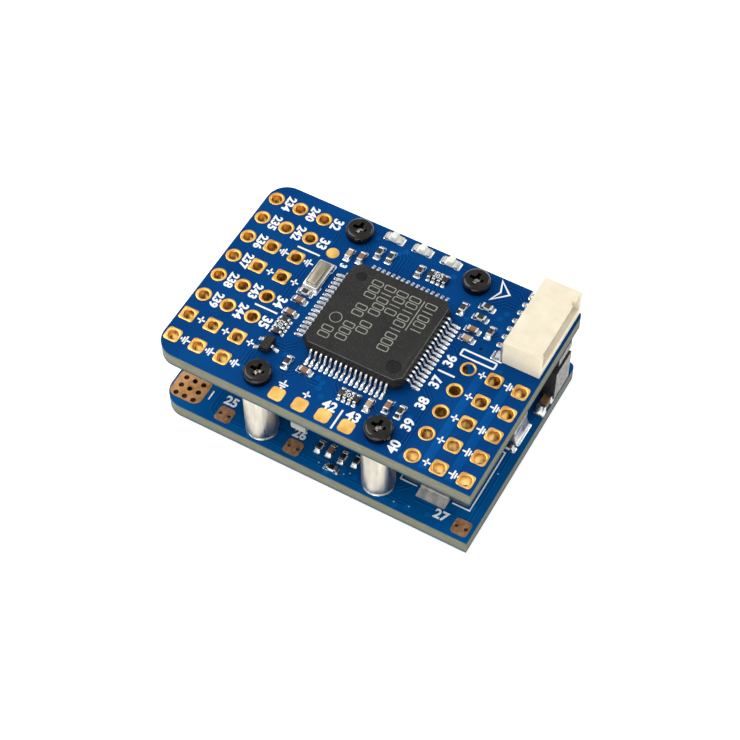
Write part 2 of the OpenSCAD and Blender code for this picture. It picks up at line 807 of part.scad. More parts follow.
room_w = plunger_w + 2 * plunger_flange + 2 * fit;
room_depth = plunger_flange_t + button_travel + leaf_t + 2 * fit;
plunger_z = button_wall;
plunger_h = button_h - button_cover_t - plunger_z - fit;

module boot_button_body() {
    tray_h = button_h - button_cover_t;
    color("#303033") at_button() difference() {
        translate([-button_w / 2, 0, 0]) cube([button_w, button_depth, tray_h]);
        translate([-room_w / 2, button_wall, plunger_z - fit]) cube([room_w, room_depth + eps, tray_h]);
        translate([-plunger_w / 2 - fit, -1, plunger_z - fit])
            cube([plunger_w + 2 * fit, button_wall + 1 + eps, tray_h]);
    }
}

module boot_button_cover() {
    color("#c9c7c0") at_button() translate([-button_w / 2, 0, button_h - button_cover_t])
        cube([button_w, button_depth, button_cover_t]);
}

// The leaf spring stands behind the plunger and is met at the end of the travel
module boot_button_leaf() {
    color("#c9c7c0") at_button()
        translate([-room_w / 2, button_wall + room_depth - leaf_t, plunger_z - fit])
            cube([room_w, leaf_t, button_h - button_cover_t - plunger_z + fit]);
}

module boot_button_terminals() {
    color("#d4d6d8") at_button() for (s = [-1, 1], y = [0.35, button_depth - 0.95])
        translate([s * (button_w / 2 + 0.15) - 0.15, y, 0]) cube([0.3, 0.6, 0.25]);
}

module boot_button_plunger() {
    color("#8d9089") at_button() union() {
        translate([-plunger_w / 2, -plunger_out + fit, plunger_z])
            cube([plunger_w, plunger_out + button_wall + fit, plunger_h]);
        translate([-plunger_w / 2 - plunger_flange, button_wall + fit, plunger_z])
            cube([plunger_w + 2 * plunger_flange, plunger_flange_t, plunger_h]);
    }
}

// ---------- power board ----------

battery_y = back - battery_pad_inset - battery_pad_w / 2;
battery_x = left + battery_pad_end + battery_pad_l / 2;

module at_battery_vias() {
    for (s = [-1, 1], i = [-1:via_count - 2], j = [-1:via_count - 2])
        translate([battery_x + i * via_pitch, s * (battery_y + battery_via_shift) + j * via_pitch, 0])
            children();
}

module at_servo_vias() {
    for (x = servo_pad_x, s = [-0.5, 0.5])
        translate([x + s * servo_via_gap, front + servo_pad_inset, 0]) children();
}

module lower_board() {
    color("#0d4a94") difference() {
        linear_extrude(board_t) outline();
        translate([0, 0, -1]) at_screws() cylinder(d = spigot_d + 2 * thread_fit, h = board_t + 2);
        translate([0, 0, -1]) at_battery_vias() cylinder(d = via_d + 2 * plating, h = board_t + 2);
        translate([0, 0, -1]) at_servo_vias() cylinder(d = servo_via_d + 2 * plating, h = board_t + 2);
    }
}

// Pads on the top face, joined to the underside by plated holes that end flush with it
module battery_pads() {
    color("#a8823e") difference() {
        union() {
            for (s = [-1, 1]) translate([battery_x, s * battery_y, board_t])
                linear_extrude(pad_t) soft_rect(battery_pad_l, battery_pad_w, 0.8);
            at_battery_vias() cylinder(d = via_d + 2 * plating, h = board_t + eps);
        }
        translate([0, 0, -1]) at_battery_vias() cylinder(d = via_d, h = board_t + 2);
    }
}

module servo_pads() {
    color("#a8823e") difference() {
        union() {
            for (x = servo_pad_x) translate([x, front + servo_pad_inset, board_t])
                linear_extrude(pad_t) soft_square(servo_pad_size, soft_r);
            at_servo_vias() cylinder(d = servo_via_d + 2 * plating, h = board_t + eps);
        }
        translate([0, 0, -1]) at_servo_vias() cylinder(d = servo_via_d, h = board_t + 2);
    }
}

module at_chokes() {
    translate([choke_at[0], choke_at[1], lower_top]) children(0);
    translate([small_choke_at[0], small_choke_at[1], lower_top]) children(1);
}

module choke(side, h) {
    translate([0, 0, choke_lift]) linear_extrude(h - choke_lift) soft_square(side, 0.35);
}

// A strip folded up each of two opposite sides and in under the body
module choke_terminal(side, w) {
    reach = choke_terminal_under + choke_terminal_t;
    for (s = [-1, 1]) {
        translate([0, s * (side + choke_terminal_t) / 2, choke_terminal_h / 2])
            cube([w, choke_terminal_t, choke_terminal_h], center = true);
        translate([0, s * (side / 2 + choke_terminal_t - reach / 2), choke_lift / 2])
            cube([w, reach, choke_lift], center = true);
    }
}

module choke_bodies() {
    color("#3a3a3d") at_chokes() {
        choke(choke_side, choke_h);
        choke(small_choke_side, small_choke_h);
    }
}

module choke_terminals() {
    color("#d6d2c6") at_chokes() {
        choke_terminal(choke_side, choke_terminal_w);
        choke_terminal(small_choke_side, small_choke_side * 0.45);
    }
}

module bulk_capacitor_bodies() {
    color("#8a6242") {
        for (b = bulk_at) translate([b[0], b[1], lower_top]) rotate(b[2])
            chip_middle(bulk_l, bulk_w, bulk_h, bulk_cap);
        for (b = small_bulk_at) translate([b[0], b[1], lower_top]) rotate(b[2])
            chip_middle(small_bulk_l, small_bulk_w, small_bulk_w, small_bulk_cap);
    }
}

module bulk_capacitor_ends() {
    color("#cfcac2") {
        for (b = bulk_at) translate([b[0], b[1], lower_top]) rotate(b[2])
            chip_ends(bulk_l, bulk_w, bulk_h, bulk_cap);
        for (b = small_bulk_at) translate([b[0], b[1], lower_top]) rotate(b[2])
            chip_ends(small_bulk_l, small_bulk_w, small_bulk_w, small_bulk_cap);
    }
}

// Switching converters beside the chokes, with four leads on each long side
converter_l = 4.9;
converter_w = 3.9;
converter_h = 1.45;
converter_at = [3.9, -3.8];

module at_converters() { translate([converter_at[0], converter_at[1], lower_top]) rotate(90) children(); }

module converter_bodies() {
    color("#232325") at_converters() package(converter_l, converter_w, converter_h, 0.1, 0.1, 0.02);
}

module converter_leads() {
    h = 0.1 + converter_h / 2 - 0.1;
    color("#c9ccce") at_converters() for (a = [90, 270]) rotate(a)
        translate([converter_w / 2, 0, 0]) lead_row(4, 1.27, 1.05, h, 0.5, 0.42, 0.2);
}

// The metal strip whose voltage drop gives the battery current
module current_shunt() {
    color("#4b4a46") translate([shunt_at[0], shunt_at[1], lower_top + shunt_h * 0.3])
        cube([shunt_w, shunt_l - 2 * shunt_end, shunt_h * 0.6], center = true);
}

module shunt_terminals() {
    color("#cfa183") for (s = [-1, 1])
        translate([shunt_at[0], shunt_at[1] + s * (shunt_l / 2 - shunt_end / 2), lower_top + shunt_h / 2])
            cube([shunt_w, shunt_end, shunt_h], center = true);
}

upper_board();
round_pads();
square_pads();
soft_square_pads();
edge_pads();
processor_body();
processor_leads();
crystal_bases();
crystal_lids();
status_light_bases();
status_light_lenses();
status_light_terminals();
resistor_bodies();
tan_capacitor_bodies();
brown_capacitor_bodies();
chip_end_caps();
resistor_array_bodies();
resistor_array_terminals();
transistor_body();
transistor_leads();
cable_socket_housing();
cable_socket_contacts();
cable_socket_tabs();
screws();
posts();
link_socket_housing();
link_socket_contacts();
link_header_base();
link_header_pins();
motion_sensor();
pressure_sensor_base();
pressure_sensor_lid();
video_chip_body();
video_chip_leads();
memory_chip_body();
memory_chip_leads();
regulator_bodies();
regulator_leads();
boot_button_body();
boot_button_cover();
boot_button_leaf();
boot_button_terminals();
boot_button_plunger();
lower_board();
battery_pads();
servo_pads();
choke_bodies();
choke_terminals();
bulk_capacitor_bodies();
bulk_capacitor_ends();
converter_bodies();
converter_leads();
current_shunt();
shunt_terminals();
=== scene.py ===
import json
import math
import bmesh
import bpy
import numpy as np
from mathutils import Matrix, Vector


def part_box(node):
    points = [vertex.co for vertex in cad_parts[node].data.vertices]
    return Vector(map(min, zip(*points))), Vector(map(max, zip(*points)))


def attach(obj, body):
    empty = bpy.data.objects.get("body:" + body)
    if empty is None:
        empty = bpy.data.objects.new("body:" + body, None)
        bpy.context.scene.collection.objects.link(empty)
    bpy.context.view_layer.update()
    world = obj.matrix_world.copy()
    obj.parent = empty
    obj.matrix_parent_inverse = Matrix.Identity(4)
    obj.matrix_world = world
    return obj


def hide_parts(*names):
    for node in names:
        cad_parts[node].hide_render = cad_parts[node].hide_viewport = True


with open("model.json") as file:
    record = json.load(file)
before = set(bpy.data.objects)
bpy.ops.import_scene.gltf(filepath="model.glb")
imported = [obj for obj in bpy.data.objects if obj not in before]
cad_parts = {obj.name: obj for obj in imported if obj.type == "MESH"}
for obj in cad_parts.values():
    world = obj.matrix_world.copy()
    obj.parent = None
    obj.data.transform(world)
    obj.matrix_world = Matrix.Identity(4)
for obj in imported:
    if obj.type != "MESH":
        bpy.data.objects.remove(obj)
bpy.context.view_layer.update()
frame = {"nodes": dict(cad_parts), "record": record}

stack = "board_stack"
mm = 0.001

# Faces and edges of the two boards, in millimetres
boardLow, boardHigh = (np.array(corner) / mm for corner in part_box("upper_board"))
powerLow, powerHigh = (np.array(corner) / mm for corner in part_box("lower_board"))
topZ, undersideZ, powerZ, floorZ = boardHigh[2], boardLow[2], powerHigh[2], powerLow[2]
frontY = boardLow[1]


# Corner numbers of the quads between neighbouring rows and columns of a grid of points
def gridQuads(rows, columns):
    i, j = np.meshgrid(np.arange(rows - 1), np.arange(columns), indexing="ij")
    k = (j + 1) % columns
    return np.stack([i * columns + j, i * columns + k, (i + 1) * columns + k, (i + 1) * columns + j], -1).reshape(-1)


# A closed solid as (points, corners of all faces in one row, corners in each face). Its volume is a sixth of the
# sum of a . (b x c) over a fan of triangles in each face, and where that is negative all faces are turned round.
def solid(points, corners, sizes):
    starts = np.repeat(np.cumsum(sizes) - sizes, sizes)
    ends = starts + np.repeat(sizes, sizes) - 1
    here = np.arange(len(corners))
    fan = here[(here > starts) & (here < ends)]
    a, b, c = points[corners[starts[fan]]], points[corners[fan]], points[corners[fan + 1]]
    if (a * np.cross(b, c)).sum() < 0:
        corners = corners[starts + ends - here]
    return points, corners, sizes


# A stack of equal loops: quads between them, with a flat lid on each end or joined end to end
def shell(rings, lids=True):
    rings = np.asarray(rings, float)
    rows, columns = rings.shape[:2]
    centre = rings.reshape(-1, 3).mean(0)
    quads = gridQuads(rows, columns)
    if not lids:
        points = np.arange(rows * columns) % ((rows - 1) * columns)
        found = solid(rings.reshape(-1, 3) - centre, points[quads], np.full(len(quads) // 4, 4))
        return found[0][:(rows - 1) * columns] + centre, found[1], found[2]
    ring = np.arange(columns)
    corners = np.concatenate([quads, ring[::-1], ring + (rows - 1) * columns])
    found = solid(rings.reshape(-1, 3) - centre, corners, np.append(np.full(len(quads) // 4, 4), [columns, columns]))
    return found[0] + centre, found[1], found[2]


# Joins groups of (solids in mm, material) into one object that rides on a body
def makePiece(name, groups, smooth=35, body=stack, replaces=()):
    mesh = bpy.data.meshes.new(name)
    solids = [s for group, _ in groups for s in group]
    offsets = np.cumsum([0] + [len(s[0]) for s in solids])
    points = np.concatenate([s[0] for s in solids]) * mm
    corners = np.concatenate([s[1] + start for s, start in zip(solids, offsets)])
    sizes = np.concatenate([s[2] for s in solids])
    which = np.concatenate([np.full(sum(len(s[2]) for s in group), k) for k, (group, _) in enumerate(groups)])
    mesh.vertices.add(len(points))
    mesh.vertices.foreach_set("co", points.reshape(-1))
    mesh.loops.add(len(corners))
    mesh.loops.foreach_set("vertex_index", corners.astype(np.int32))
    mesh.polygons.add(len(sizes))
    mesh.polygons.foreach_set("loop_start", (np.cumsum(sizes) - sizes).astype(np.int32))
    mesh.polygons.foreach_set("material_index", which.astype(np.int32))
    mesh.update(calc_edges=True)
    mesh.validate()
    mesh.shade_smooth()
    mesh.set_sharp_from_angle(angle=math.radians(smooth))
    for _, material in groups:
        mesh.materials.append(material)
    return place(bpy.data.objects.new(name, mesh), body, replaces)


# Puts an object in the scene on its body, and says which CAD nodes it stands for
def place(piece, body=stack, replaces=()):
    bpy.context.scene.collection.objects.link(piece)
    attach(piece, body)
    if replaces:
        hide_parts(*replaces)
    return piece


# Lowest and highest corner, in mm, of each separate solid of a CAD node. Every point takes the lowest
# number that its triangles hold until nothing changes, which gives each solid one number.
def islands(node):
    mesh = frame["nodes"][node].data
    points, corners = np.empty(len(mesh.vertices) * 3), np.empty(len(mesh.loops), np.int32)
    mesh.vertices.foreach_get("co", points)
    mesh.loops.foreach_get("vertex_index", corners)
    points = points.reshape(-1, 3) / mm
    same = np.unique(np.round(points, 4), axis=0, return_inverse=True)[1].reshape(-1)
    triangles = same[corners.reshape(-1, 3)]
    label, changed = np.arange(same.max() + 1), True
    while changed:
        lowest = label.copy()
        np.minimum.at(lowest, triangles.reshape(-1), np.repeat(label[triangles].min(1), 3))
        changed = (lowest != label).any()
        label = lowest[lowest]
    owner = label[same]
    boxes = [np.stack([points[owner == k].min(0), points[owner == k].max(0)]) for k in np.unique(owner)]
    return sorted(boxes, key=lambda box: tuple(np.round(box.sum(0), 2)))


# Half the sum of a box's two corners
def middle(box):
    return (box[0] + box[1]) / 2


# 1 for a box that is longer along Y than along X, otherwise 0
def longAxis(box):
    size = box[1] - box[0]
    return int(size[1] > size[0])


# The board face that a part stands on or hangs from, and the way up from it
def footing(box):
    if abs(box[1][2] - undersideZ) < 0.12:
        return undersideZ, -1
    return (topZ, 1) if box[0][2] > undersideZ else (powerZ, 1)


# The flat direction in which a terminal lies from its own body, measured in sizes of that body
def outwardFrom(bodies, box):
    body = min(bodies, key=lambda other: np.linalg.norm(middle(other) - middle(box)))
    away = ((middle(box) - middle(body)) / (body[1] - body[0]))[:2]
    axis = int(abs(away[1]) > abs(away[0]))
    return np.eye(2)[axis] * np.sign(away[axis])


# Loop of a rectangle with round corners, anticlockwise
def roundRect(halfX, halfY, corner, steps=4):
    corner = min(corner, halfX * 0.98, halfY * 0.98)
    turn = np.linspace(0, math.pi / 2, steps)
    quarters = [np.stack([np.cos(turn + a), np.sin(turn + a)], -1) * corner for a in np.arange(4) * math.pi / 2]
    signs = np.array([[1, 1], [-1, 1], [-1, -1], [1, -1]]) * [halfX - corner, halfY - corner]
    return np.concatenate([quarter + sign for quarter, sign in zip(quarters, signs)])


# A loop in the plan at one height, moved to a centre
def level(loop, centre, z):
    return np.column_stack([loop + centre[:2], np.full(len(loop), z)])


# A box with round edges: its loop is drawn in by a quarter circle at its top, and at its foot
def softBlock(box, edge=0.05, corner=0.05, foot=True):
    half, centre = (box[1] - box[0]) / 2, middle(box)
    turn = np.linspace(0, math.pi / 2, 4)
    top = [(edge * (1 - math.cos(t)), box[1][2] - edge + edge * math.sin(t)) for t in turn]
    low = [(inset, box[0][2] + box[1][2] - z) for inset, z in top[::-1]] if foot else [(0, box[0][2])]
    return shell([level(roundRect(half[0] - n, half[1] - n, max(corner - n, 0.01)), centre, z) for n, z in low + top])


# The same for each of several boxes
def softBlocks(boxes, edge=0.05, corner=0.05):
    return [softBlock(box, edge, corner) for box in boxes]


# A box drawn in through (inset, share of the height) steps
def steppedBlock(box, steps, corner=0.1):
    half, centre = (box[1] - box[0]) / 2, middle(box)
    rise = box[1][2] - box[0][2]
    return shell([level(roundRect(half[0] - n, half[1] - n, max(corner - n, 0.01)), centre, box[0][2] + rise * share)
                  for n, share in steps])


# A copy of a CAD node, merged, with its sharp edges rounded, that stands for the node
def easedCopy(name, node, width, material, segments=2, body=stack, limit=30):
    mesh = frame["nodes"][node].data.copy()
    mesh.name = name
    work = bmesh.new()
    work.from_mesh(mesh)
    bmesh.ops.remove_doubles(work, verts=work.verts, dist=3e-7)
    bmesh.ops.dissolve_limit(work, angle_limit=math.radians(0.5), verts=work.verts, edges=work.edges)
    work.to_mesh(mesh)
    work.free()
    mesh.shade_smooth()
    mesh.set_sharp_from_angle(angle=math.radians(limit))
    mesh.materials.clear()
    mesh.materials.append(material)
    piece = bpy.data.objects.new(name, mesh)
    ease = piece.modifiers.new("ease", "BEVEL")
    ease.width = width * mm
    ease.segments = segments
    ease.limit_method = "ANGLE"
    ease.angle_limit = math.radians(limit)
    ease.harden_normals = True
    return place(piece, body, [node])


# A path whose inner corners are quadratic curves that start and end a reach away from the corner
def roundPath(points, reach, steps=4):
    points = np.asarray(points, float)
    path = [points[0]]
    t = np.linspace(0, 1, steps)[:, None]
    for before, here, after in zip(points, points[1:], points[2:]):
        a, b = before - here, after - here
        start, end = (here + v * min(reach / np.linalg.norm(v), 0.5) for v in (a, b))
        path += list((1 - t) ** 2 * start + 2 * t * (1 - t) * here + t ** 2 * end)
    return np.array(path + [points[-1]])


# A flat raised strip along a path on a face: a low bar with sloped sides, set at each point across the mean
# direction of the two lengths that meet there, and sunk a little into the face
def ribbon(path, width, height, z, up=1, edge=0.03, closed=False):
    path = np.asarray(path, float)
    if closed:
        path = np.vstack([path, path[:1]])
    step = np.diff(path, axis=0)
    step /= np.linalg.norm(step, axis=1)[:, None]
    before = np.vstack([step[-1:] if closed else step[:1], step])
    after = np.vstack([step, step[:1] if closed else step[-1:]])
    along = before + after
    along /= np.maximum(np.linalg.norm(along, axis=1), 1e-6)[:, None]
    side = np.stack([-along[:, 1], along[:, 0]], -1) / np.maximum((along * after).sum(1), 0.4)[:, None]
    across = np.array([-0.5, -0.5 + edge / width, 0.5 - edge / width, 0.5]) * width
    lift = z + up * np.array([-0.01, height, height, -0.01])
    plan = path[:, None] + side[:, None] * across[None, :, None]
    return shell(np.concatenate([plan, np.broadcast_to(lift, plan.shape[:2])[..., None]], -1), lids=not closed)


# A turned solid on a vertical axis: its profile is (radius, height) from one end to the other
def turnedSolid(x, y, z, profile, sides=24, up=1):
    turn = np.arange(sides) * 2 * math.pi / sides
    ring = np.stack([np.cos(turn), np.sin(turn), np.zeros(sides)], -1)
    return shell([ring * r + [x, y, z + up * h] for r, h in profile])


# Solder round the foot of a terminal: its outline grows by distance t, and reaches furthest outward, while
# its height falls as (1 - t) to a power, down to the thin edge of the copper pad
def solderSkirt(box, outward, reach, side, height, power=2.0, corner=0.06):
    z, up = footing(box)
    half, centre = ((box[1] - box[0]) / 2)[:2], middle(box)[:2]
    rings = []
    for t in (0, 0.12, 0.28, 0.46, 0.66, 0.84, 1):
        grow = side * t + np.abs(outward) * (reach - side) / 2 * t
        loop = roundRect(half[0] + grow[0], half[1] + grow[1], corner + side * t)
        rings.append(
            level(loop, centre + outward * (reach - side) / 2 * t, z + up * (0.02 + height * (1 - t) ** power)))
    rings.append(rings[-1] * [1, 1, 0] + [0, 0, z - up * 0.01])
    return shell(rings)


# Solder round the feet of terminals, each one outward from its own body
def skirts(ends, bodies, *sizes):
    return [solderSkirt(box, outwardFrom(bodies, box), *sizes) for box in ends]


# A bent lead: a bar with eased edges carried from its body out, down a slope and along its foot
def gullLead(box, outward, thick, foot):
    z, up = footing(box)
    size, axis = box[1] - box[0], int(abs(outward[1]) > 0.5)
    length, width, drop = size[axis], size[1 - axis], size[2] - thick / 2
    knee = (length - foot) * 0.42
    path = roundPath(
        [(-0.06, drop), (knee, drop), (length - foot - thick * 0.3, thick / 2), (length, thick / 2)], thick * 1.3, 5)
    step = np.gradient(path, axis=0)
    step /= np.linalg.norm(step, axis=1)[:, None]
    normal = np.stack([-step[:, 1], step[:, 0]], -1)
    section = roundRect(width / 2, thick / 2, thick * 0.3, 2)
    line = path[:, None] + normal[:, None] * section[None, :, 1:]
    inner = middle(box)[:2] - outward * length / 2
    across = np.array([-outward[1], outward[0]])
    plan = inner + line[..., :1] * outward + section[None, :, :1] * across
    return shell(np.concatenate([plan, z + up * line[..., 1:]], -1))


# The foot of a lead, as a box on the board
def leadFoot(box, outward, foot, thick):
    z, up = footing(box)
    found = box.copy()
    axis = int(abs(outward[1]) > 0.5)
    found[0 if outward[axis] > 0 else 1][axis] = box[1 if outward[axis] > 0 else 0][axis] - outward[axis] * foot
    found[:, 2] = sorted([z, z + up * thick])
    return found


# Figures as flat raised shapes of a given height, centred, that read along +X
def figures(text, height, bold=0.03, rise=0.014):
    curve = bpy.data.curves.new("figures", "FONT")
    curve.body, curve.size, curve.offset, curve.extrude, curve.resolution_u = text, height * 1.4, bold, rise, 3
    holder = bpy.data.objects.new("figures", curve)
    bpy.context.scene.collection.objects.link(holder)
    mesh = bpy.data.meshes.new_from_object(holder.evaluated_get(bpy.context.evaluated_depsgraph_get()))
    points, corners = np.empty(len(mesh.vertices) * 3), np.empty(len(mesh.loops), np.int32)
    sizes = np.empty(len(mesh.polygons), np.int32)
    mesh.vertices.foreach_get("co", points)
    mesh.loops.foreach_get("vertex_index", corners)
    mesh.polygons.foreach_get("loop_total", sizes)
    bpy.data.objects.remove(holder)
    bpy.data.curves.remove(curve)
    bpy.data.meshes.remove(mesh)
    points = points.reshape(-1, 3)
    kept, same = np.unique(np.round(points, 5), axis=0, return_inverse=True)
    kept = kept - (kept.min(0) + kept.max(0)) / 2
    kept[:, :2] *= height / np.ptp(kept[:, 1])
    return kept, same.reshape(-1)[corners], sizes


# The same figures turned about Z by an angle and set on a face
def setFigures(shape, x, y, z, angle=0, up=1):
    a = math.radians(angle)
    spin = np.array([[math.cos(a), math.sin(a), 0], [-math.sin(a), math.cos(a), 0], [0, 0, up]])
    points, faces = solid(shape[0] @ spin, shape[1], shape[2])[:2]
    return points + [x, y, z], faces, shape[2]


# A display colour from 0 to 255 as a linear one
def tint(red, green, blue):
    value = np.array([red, green, blue]) / 255
    return (*np.where(value <= 0.04045, value / 12.92, ((value + 0.055) / 1.055) ** 2.4).tolist(), 1.0)


# Adds a node. An input is a constant or another node's socket, under its name, or its number after an n
def addNode(tree, kind, attributes=None, **inputs):
    node = tree.nodes.new(kind)
    for key, value in (attributes or {}).items():
        setattr(node, key, value)
    feed(tree, node, inputs)
    return node


# Sets or links the inputs of a node
def feed(tree, node, inputs):
    for key, value in inputs.items():
        socket = node.inputs[int(key[1:])] if key[0] == "n" and key[1:].isdigit() else node.inputs[key.replace("_",
            " ")]
        if isinstance(value, bpy.types.NodeSocket):
            tree.links.new(value, socket)
        else:
            socket.default_value = value


# A shader node group with its sockets, filled by a function that returns what goes out
def makeGroup(name, inputs, output, build):
    tree = bpy.data.node_groups.new(name, "ShaderNodeTree")
    for label, kind, value in [("Vector", "Vector", None), *inputs]:
        socket = tree.interface.new_socket(label, in_out="INPUT", socket_type="NodeSocket" + kind)
        if value is not None:
            socket.default_value = value
    for label, kind in output:
        tree.interface.new_socket(label, in_out="OUTPUT", socket_type="NodeSocket" + kind)
    entry, out = tree.nodes.new("NodeGroupInput"), tree.nodes.new("NodeGroupOutput")
    for label, socket in build(tree, entry.outputs).items():
        tree.links.new(socket, out.inputs[label])
    return tree


# Two shades in soft patches, and the mask that mixes them
def buildMottle(tree, given):
    noise = addNode(
        tree, "ShaderNodeTexNoise", Vector=given["Vector"], Scale=given["Scale"], Detail=5.0, Roughness=0.6)
    mask = addNode(tree, "ShaderNodeMapRange", Value=noise.outputs["Fac"], From_Min=0.32, From_Max=0.68).outputs[0]
    mixed = addNode(tree, "ShaderNodeMix", {"data_type": "RGBA"}, n0=mask, n6=given["Dark"], n7=given["Light"])
    return {"Color": mixed.outputs[2], "Mask": mask}


# Round specks in some of the cells of a grid of cells
def buildSpecks(tree, given):
    cells = addNode(tree, "ShaderNodeTexVoronoi", Vector=given["Vector"], Scale=given["Scale"])
    spot = addNode(tree, "ShaderNodeMapRange", Value=cells.outputs["Distance"], From_Min=given["Size"], From_Max=0.0)
    chance = addNode(tree, "ShaderNodeSeparateColor", Color=cells.outputs["Color"])
    rare = addNode(tree, "ShaderNodeMath", {"operation": "LESS_THAN"}, n0=chance.outputs[0], n1=given["Share"])
    mask = addNode(tree, "ShaderNodeMath", {"operation": "MULTIPLY"}, n0=spot.outputs[0], n1=rare.outputs[0])
    return {"Mask": mask.outputs[0]}


# Fine grain on slower waves, as a height
def buildGrain(tree, given):
    fine = addNode(tree, "ShaderNodeTexNoise", Vector=given["Vector"], Scale=given["Scale"], Detail=3.0)
    broad = addNode(tree, "ShaderNodeMath", {"operation": "MULTIPLY"}, n0=given["Scale"], n1=0.17)
    slow = addNode(tree, "ShaderNodeTexNoise", Vector=given["Vector"], Scale=broad.outputs[0], Detail=1.0)
    total = addNode(
        tree, "ShaderNodeMath", {"operation": "MULTIPLY_ADD"}, n0=slow.outputs["Fac"], n1=given["Waves"],
        n2=fine.outputs["Fac"])
    return {"Height": total.outputs[0]}


mottle = makeGroup(
    "mottle", [("Scale", "Float", 500.0), ("Dark", "Color", (0, 0, 0, 1)), ("Light", "Color", (1, 1, 1, 1))],
    [("Color", "Color"), ("Mask", "Float")], buildMottle)
specks = makeGroup(
    "specks", [("Scale", "Float", 2000.0), ("Size", "Float", 0.25), ("Share", "Float", 0.1)], [("Mask", "Float")],
    buildSpecks)
grain = makeGroup("grain", [("Scale", "Float", 5000.0), ("Waves", "Float", 1.0)], [("Height", "Float")], buildGrain)


# A material with constants on its shader and a node that gives the place on the object
def newMaterial(name, **constants):
    material = bpy.data.materials.new(name)
    material.use_nodes = True
    addNode(material.node_tree, "ShaderNodeTexCoord", {"name": "place"})
    setShader(material, **constants)
    return material


# Sets or links the inputs of the material's own shader
def setShader(material, **inputs):
    feed(material.node_tree, material.node_tree.nodes["Principled BSDF"], inputs)


# Adds a node to a material
def add(material, kind, attributes=None, **inputs):
    return addNode(material.node_tree, kind, attributes, **inputs)


# Adds a shared group to a material, read at the place on the object unless a vector is given
def useGroup(material, group, **inputs):
    inputs.setdefault("Vector", material.node_tree.nodes["place"].outputs["Object"])
    return add(material, "ShaderNodeGroup", {"node_tree": group}, **inputs).outputs


# first x (1 - factor) + second x factor, or another kind of mix
def blend(material, factor, first, second, kind="MIX"):
    return add(material, "ShaderNodeMix", {"data_type": "RGBA", "blend_type": kind}, n0=factor, n6=first,
        n7=second).outputs[2]


# A value from start to end as one from low to high, held at both ends
def spread(material, value, low, high, start=0.0, end=1.0):
    return add(material, "ShaderNodeMapRange", Value=value, From_Min=start, From_Max=end, To_Min=low,
        To_Max=high).outputs[0]


# Grain as a bump of a given depth in metres
def addRelief(material, scale, depth, waves=1.5):
    height = useGroup(material, grain, Scale=scale, Waves=waves)["Height"]
    bump = add(material, "ShaderNodeBump", Height=height, Distance=depth)
    setShader(material, Normal=bump.outputs["Normal"])


# Two shades in patches, a roughness that follows them, specks of a third shade and a fine relief
def finish(name, dark, light, patches, rough, relief, speck=None, speckSize=(5000.0, 0.3, 0.12), speckShare=0.5,
    stretch=(1, 1, 1), **constants):
    material = newMaterial(name, **constants)
    drawn = add(material, "ShaderNodeMapping", Vector=material.node_tree.nodes["place"].outputs["Object"])
    drawn.inputs["Scale"].default_value = stretch
    base = useGroup(material, mottle, Vector=drawn.outputs[0], Scale=patches, Dark=tint(*dark), Light=tint(*light))
    colour = base["Color"]
    if speck:
        dots = useGroup(material, specks, Scale=speckSize[0], Size=speckSize[1], Share=speckSize[2])["Mask"]
        colour = blend(material, spread(material, dots, 0.0, speckShare), colour, tint(*speck))
    setShader(material, Base_Color=colour, Roughness=spread(material, base["Mask"], *rough))
    addRelief(material, *relief)
    return material


# How much of a face is flat to the board, from its normal
def facing(material, axis, start, end):
    parts = add(material, "ShaderNodeSeparateXYZ", Vector=add(material, "ShaderNodeNewGeometry").outputs["Normal"])
    size = add(material, "ShaderNodeMath", {"operation": "ABSOLUTE"}, n0=parts.outputs[axis])
    return spread(material, size.outputs[0], 0.0, 1.0, start, end)


boardLook = {
    "mask": ((0, 55, 113), (1, 67, 130)), "copper": ((1, 65, 128), (5, 79, 146)), "gap": ((0, 46, 98), (0, 57, 113)),
    # The power board's shades are lighter than the processor board's: painted light on the lower board, which lies
    # largely in the upper board's shade
    "powerMask": ((0, 74, 136), (2, 86, 150)), "powerCopper": ((1, 84, 150), (5, 98, 166)),
    "powerGap": ((0, 65, 123), (0, 76, 136)), "rough": (0.28, 0.42), "gloss": 0.03, "dust": (100, 150, 195)
}


# Solder mask between two shades, with a few pale grains of dust
def maskFinish(name, shades):
    return finish(
        name, *shades, 170.0, boardLook["rough"], (2400.0, 0.000003, 3.0), boardLook["dust"], (2600.0, 0.1, 0.05),
        0.3, Specular_IOR_Level=boardLook["gloss"])


